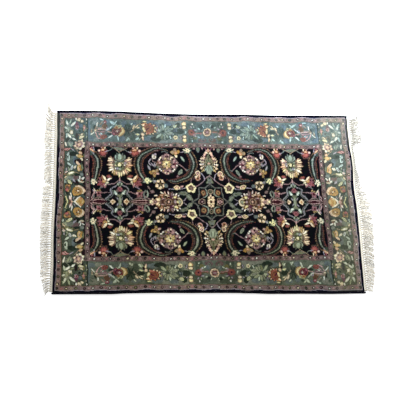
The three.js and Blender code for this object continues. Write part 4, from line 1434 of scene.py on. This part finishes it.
def ties(path, radius, sides):
    """Points and faces of closed rings of yarn along closed paths, (ring, step, 3)."""
    way = np.roll(path, -1, 1) - np.roll(path, 1, 1)
    points, number = rings(path, way, (1, 0, 0.3), radius, sides)
    points[:, 2] = np.maximum(points[:, 2], ON_FLOOR)
    after = np.roll(number, -1, 2)
    walls = np.stack([number, after, np.roll(after, -1, 1), np.roll(number, -1, 1)], -1)
    return points, [walls.reshape(-1, 4)]


def cord(name, rows, toward, past):
    """A side cord: navy yarn wrapped round the edge warps in slanting turns."""
    line = HALF_WIDTH + CORD_GAP + CORD_WIDE
    left, right = -HALF_LENGTH - past[0], HALF_LENGTH + past[1]
    x = np.linspace(left, right, CORD_STEPS)
    y = toward * (line + eased(rows, np.clip(x, -HALF_LENGTH, HALF_LENGTH)))
    path = np.stack([x, y, np.full(CORD_STEPS, CORD_RADIUS)], 1)[None]
    angle = np.arange(CORD_SIDES) * TURN / CORD_SIDES
    turn = x[:, None] / CORD_PITCH * TURN + toward * angle[None] + 1.5 * waves(x, 0, 60, 21)[:, None]
    lumps = 0.12 * waves(x, 0, 34, 22 + toward)[:, None]
    radius = CORD_RADIUS - CORD_GROOVE + CORD_RIDGE * np.abs(np.sin(turn / 2)) + lumps
    tip = np.clip(np.minimum(x - left, right - x) / CORD_TIP, 0, 1)
    radius = radius * np.sqrt(np.maximum(1 - (1 - tip) ** 2, 0.02))[:, None]
    points, faces = tubes(path, radius[None], CORD_SIDES)
    # The wrapped edge is wider than it is high.
    points[:, 1] += (points[:, 1] - np.repeat(y, CORD_SIDES)) * (CORD_WIDE / CORD_RADIUS - 1)
    points[:, 2] = np.maximum(points[:, 2], ON_FLOOR)
    piece = mesh_of(name, points, faces)
    shade = 1 + 0.10 * np.sin(turn) + 0.15 * waves(x, 0, 80, 23)[:, None]
    navy = np.clip(shade[..., None] * (linear(YARN["night"]) * 0.9), 0, 1).reshape(-1, 3)
    coloured(piece, navy[np.concatenate([f.ravel() for f in faces])])
    # The map winds the cord over several rows.
    count = CORD_STEPS - 1
    k, s = np.meshgrid(np.arange(count), np.arange(CORD_SIDES), indexing="ij")
    row, per = (k * CORD_MAP_ROWS) // count, count / CORD_MAP_ROWS
    uv = []
    for dk, ds in ((0, 0), (0, 1), (1, 1), (1, 0)):
        u = (k + dk - row * per) / (per + 1)
        v = (row + 0.05 + 0.9 * (s + ds) / CORD_SIDES) / CORD_MAP_ROWS
        uv.append(np.stack([u.ravel(), v.ravel()], 1))
    caps = np.full((2 * CORD_SIDES, 2), MAP_SPOT)
    mapped(piece, np.vstack([np.stack(uv, 1).reshape(-1, 2), caps]))
    return piece


WEB_COLS, WEB_ROWS = 330, 8
LOCK_PLACES = np.linspace(-FIRST_LOCK, FIRST_LOCK, LOCKS)


def web(ends, toward):
    """The woven band, brightened with painted light at the rug's edge, with a small dark spot of painted
    shade between each lock and the next.
    """
    across, deep = lines(WEB_COLS, HALF_WIDTH - 1), np.linspace(0, WEB_DEPTH, WEB_ROWS + 1)
    Y, D = np.meshgrid(across, deep, indexing="ij")
    X = toward * (HALF_LENGTH + WEB_GAP + D + eased(ends, Y))
    over = np.add.outer(np.arange(WEB_COLS + 1), np.arange(WEB_ROWS + 1)) % 2
    Z = WEB_THICK + 1.6 - 2.2 * soft(D, WEB_DEPTH - 2, WEB_DEPTH) + np.where(over, 0.12, -0.18)
    pitch = 2 * FIRST_LOCK / (LOCKS - 1)
    between = np.abs((Y + FIRST_LOCK) / pitch % 1 - 0.5) * pitch
    # Painted shade darkens a spot between each lock and the next.
    painted_gap_shade = (1 - soft(between, 1.8, 3.6)) * soft(D, 6, 8)
    # The band is brightened as painted light against the pile edge's shade, with a little random mottle.
    band_light_and_mottle = 1.3 - 0.06 * soft(D, 6, 9) + 0.06 * waves(X, Y, 7, 31)
    tones = np.tile((band_light_and_mottle * (1 - 0.55 * painted_gap_shade)).ravel(), 2)
    return *sheet_block(np.stack([X, Y, Z], 2), 0.0, toward), tones


def per_lock(values):
    """One value for each lock, over its yarns and their steps."""
    return values[:, None, None]


def loose_yarns(ends, table, toward):
    """The yarns of every lock: from the band through the knot, then free."""
    shape = (LOCKS, YARNS)
    end = HALF_LENGTH + eased(ends, LOCK_PLACES)
    reach, comb = eased(table, LOCK_PLACES, 1), eased(table, LOCK_PLACES, 2)
    place = np.linspace(-1, 1, YARNS)[None] + rng.uniform(-0.15, 0.15, shape)
    tip = ((reach[:, None] - NECK) * rng.uniform(0.86, 1.05, shape))[..., None]
    lean = rng.normal(0, 2.2, shape)[..., None]
    # The first steps are bound, and the rest are free.
    bound = len(STATIONS)
    free = np.linspace(0, 1, YARN_STEPS - bound + 1)[1:]
    dist, share, spread = np.zeros((3, *shape, YARN_STEPS))
    dist[..., :bound] = STATIONS
    dist[..., bound:] = NECK + tip * free
    share[..., bound:] = free
    open_at, opened, at_knot = RIGHT_OPEN if toward > 0 else LEFT_OPEN
    spread[..., :bound] = np.array(BOUND_SPREAD) * at_knot
    spread[..., bound:] = 1.8 + opened * soft(free, 0, open_at)
    wave = rng.uniform(0, TURN, (*shape, 2))
    curl = 1.5 * soft(share, 0, 0.5) * np.sin(share * tip / 24 * TURN + wave[..., :1])
    curl += 0.8 * soft(share, 0, 0.3) * np.sin(share * tip / 11 * TURN + wave[..., 1:])
    locks_bend = per_lock(rng.normal(0, 2.6, LOCKS)) * share**1.5
    y = per_lock(LOCK_PLACES) + place[..., None] * spread + per_lock(comb) * share**2
    y = y + lean * share + curl + locks_bend
    x = toward * (per_lock(end) + dist)
    level = rng.uniform(0, 1, shape)[..., None]
    rest = 0.6 + 2.1 * level * (1 - share**2) + 0.3 * np.sin(share * 9 + wave[..., :1])
    z = np.where(share > 0, rest, 0)
    z[..., :bound] = BOUND_HEIGHT
    thick = YARN_RADIUS * (1 - 0.3 * share)
    z = np.maximum(z, thick + 0.02)
    path = np.stack([x, y, z], -1).reshape(-1, YARN_STEPS, 3)
    # The yarns lie over each other, and the lower ones are in the shade.
    shade = 0.52 + 0.5 * level + 0.14 * rng.normal(0, 1, shape)[..., None] + 0.2 * waves(x, 2 * y, 14, 32)
    shade = shade + 0.1 * per_lock(rng.normal(0, 1, LOCKS))
    return *tubes(path, thick.reshape(-1, YARN_STEPS, 1), 4, turn=0.5), np.repeat(shade.ravel(), 4)


def knot_turn(ends, toward, lift, tilt, big):
    """One of the two turns of yarn drawn tight round each lock."""
    steps, sides = 12, 6
    turn = np.arange(steps) * TURN / steps
    middle = HALF_LENGTH + eased(ends, LOCK_PLACES) + TIE - 1.2 + lift + rng.uniform(-0.5, 0.5, LOCKS)
    x = middle[:, None] + tilt * np.cos(turn) * big
    y = LOCK_PLACES[:, None] + big * np.cos(turn)
    z = 2.55 + 0.72 * big * np.sin(turn) + 0 * y
    path = np.stack([toward * x, y, z], -1)
    return *ties(path, KNOT_YARN, sides), np.repeat(rng.uniform(0.78, 1.05, LOCKS), steps * sides)


def cotton(name, ends, table, toward):
    """An end's woven band with its knots and their loose yarns, as one piece."""
    parts = [web(ends, toward), loose_yarns(ends, table, toward)]
    for lift, tilt, big in KNOT_TURNS:
        parts.append(knot_turn(ends, toward, lift, tilt, big))
    # The right fringe is darker towards its far end, painted shade under its strong end lamp, and the left
    # one is brighter, painted light.
    points = np.vstack([part[0] for part in parts])
    loose = soft(abs(points[:, 0]) - HALF_LENGTH, 8, 13)
    painted_light_tone = 1 - 0.42 * loose * soft(points[:, 1], -100, 200) if toward > 0 else 1.1
    return joined(name, parts, painted_light_tone)


def sheet_block(grid, plain, toward):
    """A closed block under a grid of points, down to height plain."""
    n, m = grid.shape[:2]
    low = grid.copy()
    low[..., 2] = plain
    top = np.arange(n * m).reshape(n, m)
    under = top + n * m
    up = np.stack([top[:-1, :-1], top[:-1, 1:], top[1:, 1:], top[1:, :-1]], -1).reshape(-1, 4)
    down = np.stack([under[:-1, :-1], under[1:, :-1], under[1:, 1:], under[:-1, 1:]], -1).reshape(-1, 4)
    loop = np.concatenate([top[:-1, 0], top[-1, :-1], top[:0:-1, -1], top[0, :0:-1]])
    after = np.roll(loop, -1)
    faces = [up, down, np.stack([loop, after, after + n * m, loop + n * m], 1)]
    if toward < 0:
        faces = [f[:, ::-1] for f in faces]
    return np.vstack([grid.reshape(-1, 3), low.reshape(-1, 3)]), faces


def joined(name, parts, painted_light_tone):
    """One piece from several parts, each (points, faces, tones), with a tone for each point. Every face gets
    a small square of the map."""
    faces, base = [], 0
    for part_points, part_faces, _ in parts:
        faces += [f + base for f in part_faces]
        base += len(part_points)
    piece = mesh_of(name, np.vstack([part[0] for part in parts]), faces)
    tones = np.concatenate([part[2] for part in parts]) * painted_light_tone
    corners = np.concatenate([f.ravel() for f in faces])
    coloured(piece, np.repeat(np.clip(tones, 0.1, 1.3)[corners, None], 3, axis=1))
    count = sum(len(f) for f in faces)
    across = math.ceil(math.sqrt(count))
    square = np.arange(count)
    corner = np.array([(0.1, 0.1), (0.9, 0.1), (0.9, 0.9), (0.1, 0.9)])
    uv = (np.stack([square % across, square // across], 1)[:, None] + corner) / across
    mapped(piece, uv.reshape(-1, 2))
    return piece


def material(name, build):
    """A node material, whose colour and relief build adds."""
    made = bpy.data.materials.new(name)
    made.use_nodes = True
    tree = made.node_tree
    tree.nodes.clear()
    out = tree.nodes.new("ShaderNodeOutputMaterial")
    shader = tree.nodes.new("ShaderNodeBsdfPrincipled")
    tree.links.new(shader.outputs["BSDF"], out.inputs["Surface"])
    build(tree, shader)
    return made


def noise(tree, scale, detail, stretch=(1, 1, 1)):
    """A noise texture in the object's own metres."""
    place = tree.nodes.new("ShaderNodeTexCoord")
    mapping = tree.nodes.new("ShaderNodeMapping")
    mapping.inputs["Scale"].default_value = stretch
    texture = tree.nodes.new("ShaderNodeTexNoise")
    texture.inputs["Scale"].default_value = scale
    texture.inputs["Detail"].default_value = detail
    tree.links.new(place.outputs["Object"], mapping.inputs["Vector"])
    tree.links.new(mapping.outputs["Vector"], texture.inputs["Vector"])
    return texture.outputs["Fac"]


def ramp(tree, value, dark, light, low=0.3, high=0.7):
    """Maps value from low..high to a grey between dark and light."""
    node = tree.nodes.new("ShaderNodeMapRange")
    node.inputs["From Min"].default_value = low
    node.inputs["From Max"].default_value = high
    node.inputs["To Min"].default_value = dark
    node.inputs["To Max"].default_value = light
    tree.links.new(value, node.inputs["Value"])
    return node.outputs["Result"]


def product(tree, colour, factor):
    """A colour times a factor."""
    node = tree.nodes.new("ShaderNodeVectorMath")
    node.operation = "MULTIPLY"
    tree.links.new(colour, node.inputs[0])
    tree.links.new(factor, node.inputs[1])
    return node.outputs["Vector"]


def bump(tree, shader, height, distance, after=None):
    """Relief of a height, over another one where there is one."""
    node = tree.nodes.new("ShaderNodeBump")
    node.inputs["Distance"].default_value = distance
    node.inputs["Strength"].default_value = 0.5
    tree.links.new(height, node.inputs["Height"])
    if after is not None:
        tree.links.new(after, node.inputs["Normal"])
    tree.links.new(node.outputs["Normal"], shader.inputs["Normal"])
    return node.outputs["Normal"]


def yarn_colour(tree):
    """The colour that each corner of the mesh carries."""
    yarn = tree.nodes.new("ShaderNodeAttribute")
    yarn.attribute_name = "Yarn"
    return yarn.outputs["Color"]


def wool(sheen, fleck):
    """Matt wool with fine fibres and tufts, for material."""

    def build(tree, shader):
        fibre = ramp(tree, noise(tree, 900, 2), 1 - fleck, 1 + fleck)
        tuft = ramp(tree, noise(tree, 260, 3), 0.9, 1.1)
        colour = product(tree, product(tree, yarn_colour(tree), fibre), tuft)
        tree.links.new(colour, shader.inputs["Base Color"])
        shader.inputs["Roughness"].default_value = 0.88
        shader.inputs["Specular IOR Level"].default_value = 0.04
        shader.inputs["Sheen Weight"].default_value = sheen
        shader.inputs["Sheen Roughness"].default_value = 0.45
        fine = bump(tree, shader, noise(tree, 1100, 2), 0.0006)
        bump(tree, shader, noise(tree, 330, 2), 0.0012, fine)

    return build


def cotton_yarn(tree, shader):
    """Unbleached cotton with its twist."""
    colour = tree.nodes.new("ShaderNodeMix")
    colour.data_type = "RGBA"
    colour.inputs["A"].default_value = (0.61, 0.53, 0.43, 1)
    colour.inputs["B"].default_value = (0.77, 0.71, 0.60, 1)
    tree.links.new(noise(tree, 160, 4), colour.inputs["Factor"])
    twist = ramp(tree, noise(tree, 1500, 2, (0.5, 1, 1)), 0.93, 1.05)
    toned = product(tree, colour.outputs["Result"], yarn_colour(tree))
    tree.links.new(product(tree, toned, twist), shader.inputs["Base Color"])
    shader.inputs["Roughness"].default_value = 0.85
    shader.inputs["Specular IOR Level"].default_value = 0.25
    shader.inputs["Sheen Weight"].default_value = 0.1
    shader.inputs["Sheen Roughness"].default_value = 0.5
    bump(tree, shader, noise(tree, 1600, 2, (0.5, 1, 1)), 0.0004)


def plain_floor(tree, shader):
    """A white studio floor. It glows a little from below, which keeps it pale to its far corners."""
    tree.links.new(ramp(tree, noise(tree, 3, 2), 0.88, 0.90), shader.inputs["Base Color"])
    shader.inputs["Roughness"].default_value = 0.9
    shader.inputs["Specular IOR Level"].default_value = 0.1
    shader.inputs["Emission Color"].default_value = (1, 1, 1, 1)
    shader.inputs["Emission Strength"].default_value = FLOOR_GLOW


def dressed(piece, look, slot, *nodes):
    """The piece wears a material, rides with the rug and stands for its CAD nodes."""
    piece.data.materials.append(look)
    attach(piece, "root")
    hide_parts(*nodes)


def rug():
    """Every piece of the rug, with its look and its place in the frame."""
    pile_look = material("knotted_wool", wool(0.03, 0.14))
    back_look = material("woven_back", wool(0.03, 0.10))
    cord_look = material("navy_cord", wool(0.02, 0.12))
    cotton_look = material("cotton_warp", cotton_yarn)
    under = back()
    dressed(under, back_look, "wool_pile", "pile_body")
    for piece, flat in pile():
        dressed(piece, pile_look, "wool_pile", "pile_body")
    edging = []
    for name, node, rows, toward, past in (
        ("cord_far", "side_cord_far", FAR_SIDE, 1, FAR_PAST),
        ("cord_near", "side_cord_near", NEAR_SIDE, -1, NEAR_PAST),
    ):
        edging.append(cord(name, rows, toward, past))
        dressed(edging[-1], cord_look, "navy_wool", node)
    for name, node, ends, table, toward in (
        ("cotton_left", "fringe_left", LEFT_END, LEFT_FRINGE, -1),
        ("cotton_right", "fringe_right", RIGHT_END, RIGHT_FRINGE, 1),
    ):
        edging.append(cotton(name, ends, table, toward))
        dressed(edging[-1], cotton_look, "cotton", node)


FLOOR_HALF = 8
FLOOR_GLOW = 0.68
SKY_COLOUR = (1, 0.87, 0.66, 1)
SKY = 0.1
LAMP_COLOUR = (0.87, 0.95, 1.0)
LAMPS = (
    # place, long side, short side, watts: a window-like one over the far side, and a fill beyond each end
    ((0.3, 1.15, 0.66), 2.4, 0.7, 51),
    ((-1.5, 0.0, 0.7), 1.1, 0.5, 8.5),
    ((1.5, 0.1, 0.7), 1.1, 0.5, 14),
)


def soft_lamp(name, place, long, short, watts):
    """An area lamp that faces the rug's middle and isn't seen itself."""
    lamp = bpy.data.lights.new(name, "AREA")
    lamp.shape = "RECTANGLE"
    lamp.size = long
    lamp.size_y = short
    lamp.energy = watts
    lamp.color = LAMP_COLOUR
    made = placed(name, lamp)
    made.visible_camera = False
    way = -np.array(place) / np.linalg.norm(place)
    side = np.cross(way, [0, 0, 1])
    side /= np.linalg.norm(side)
    up = np.cross(side, way)
    turn = Matrix([[*side], [*up], [*(-way)]]).transposed().to_4x4()
    made.matrix_world = Matrix.Translation(place) @ turn


def studio():
    """A plain pale floor, an even warm sky, and soft cool lamps low over the far side and the ends."""
    floor_mesh = bpy.data.meshes.new("floor")
    corners = [(FLOOR_HALF * x, FLOOR_HALF * y, 0) for x, y in ((-1, -1), (1, -1), (1, 1), (-1, 1))]
    floor_mesh.from_pydata(corners, [], [(0, 1, 2, 3)])
    floor = placed("floor", floor_mesh)
    floor_mesh.materials.append(material("pale_floor", plain_floor))
    world = bpy.data.worlds.new("studio")
    bpy.context.scene.world = world
    world.use_nodes = True
    sky = world.node_tree.nodes["Background"]
    sky.inputs["Color"].default_value = SKY_COLOUR
    sky.inputs["Strength"].default_value = SKY
    for number, lamp in enumerate(LAMPS):
        soft_lamp(f"lamp_{number}", *lamp)
    bpy.context.scene.view_settings.view_transform = "Standard"


# The photograph's camera, fitted to the rug's outline: place, turns in degrees, focal length in pixels.
CAMERA_PLACE = (-0.5037, -1.2609, 3.6536)
CAMERA_TURNS = ((-20.114, "Z"), (20.209, "X"), (19.578, "Z"))
CAMERA_FOCAL = 782.41
PICTURE_WIDTH = 400
SENSOR = 36


def photo_camera():
    """The camera that sees the rug as the photograph does."""
    lens = bpy.data.cameras.new("camera")
    lens.sensor_width = SENSOR
    lens.lens = CAMERA_FOCAL / PICTURE_WIDTH * SENSOR
    lens.clip_end = 50
    camera = placed("camera", lens)
    turned = Matrix.Identity(4)
    for degrees, axis in CAMERA_TURNS:
        turned = turned @ Matrix.Rotation(math.radians(degrees), 4, axis)
    camera.matrix_world = Matrix.Translation(CAMERA_PLACE) @ turned
    bpy.context.scene.camera = camera


photo_camera()
studio()
rug()
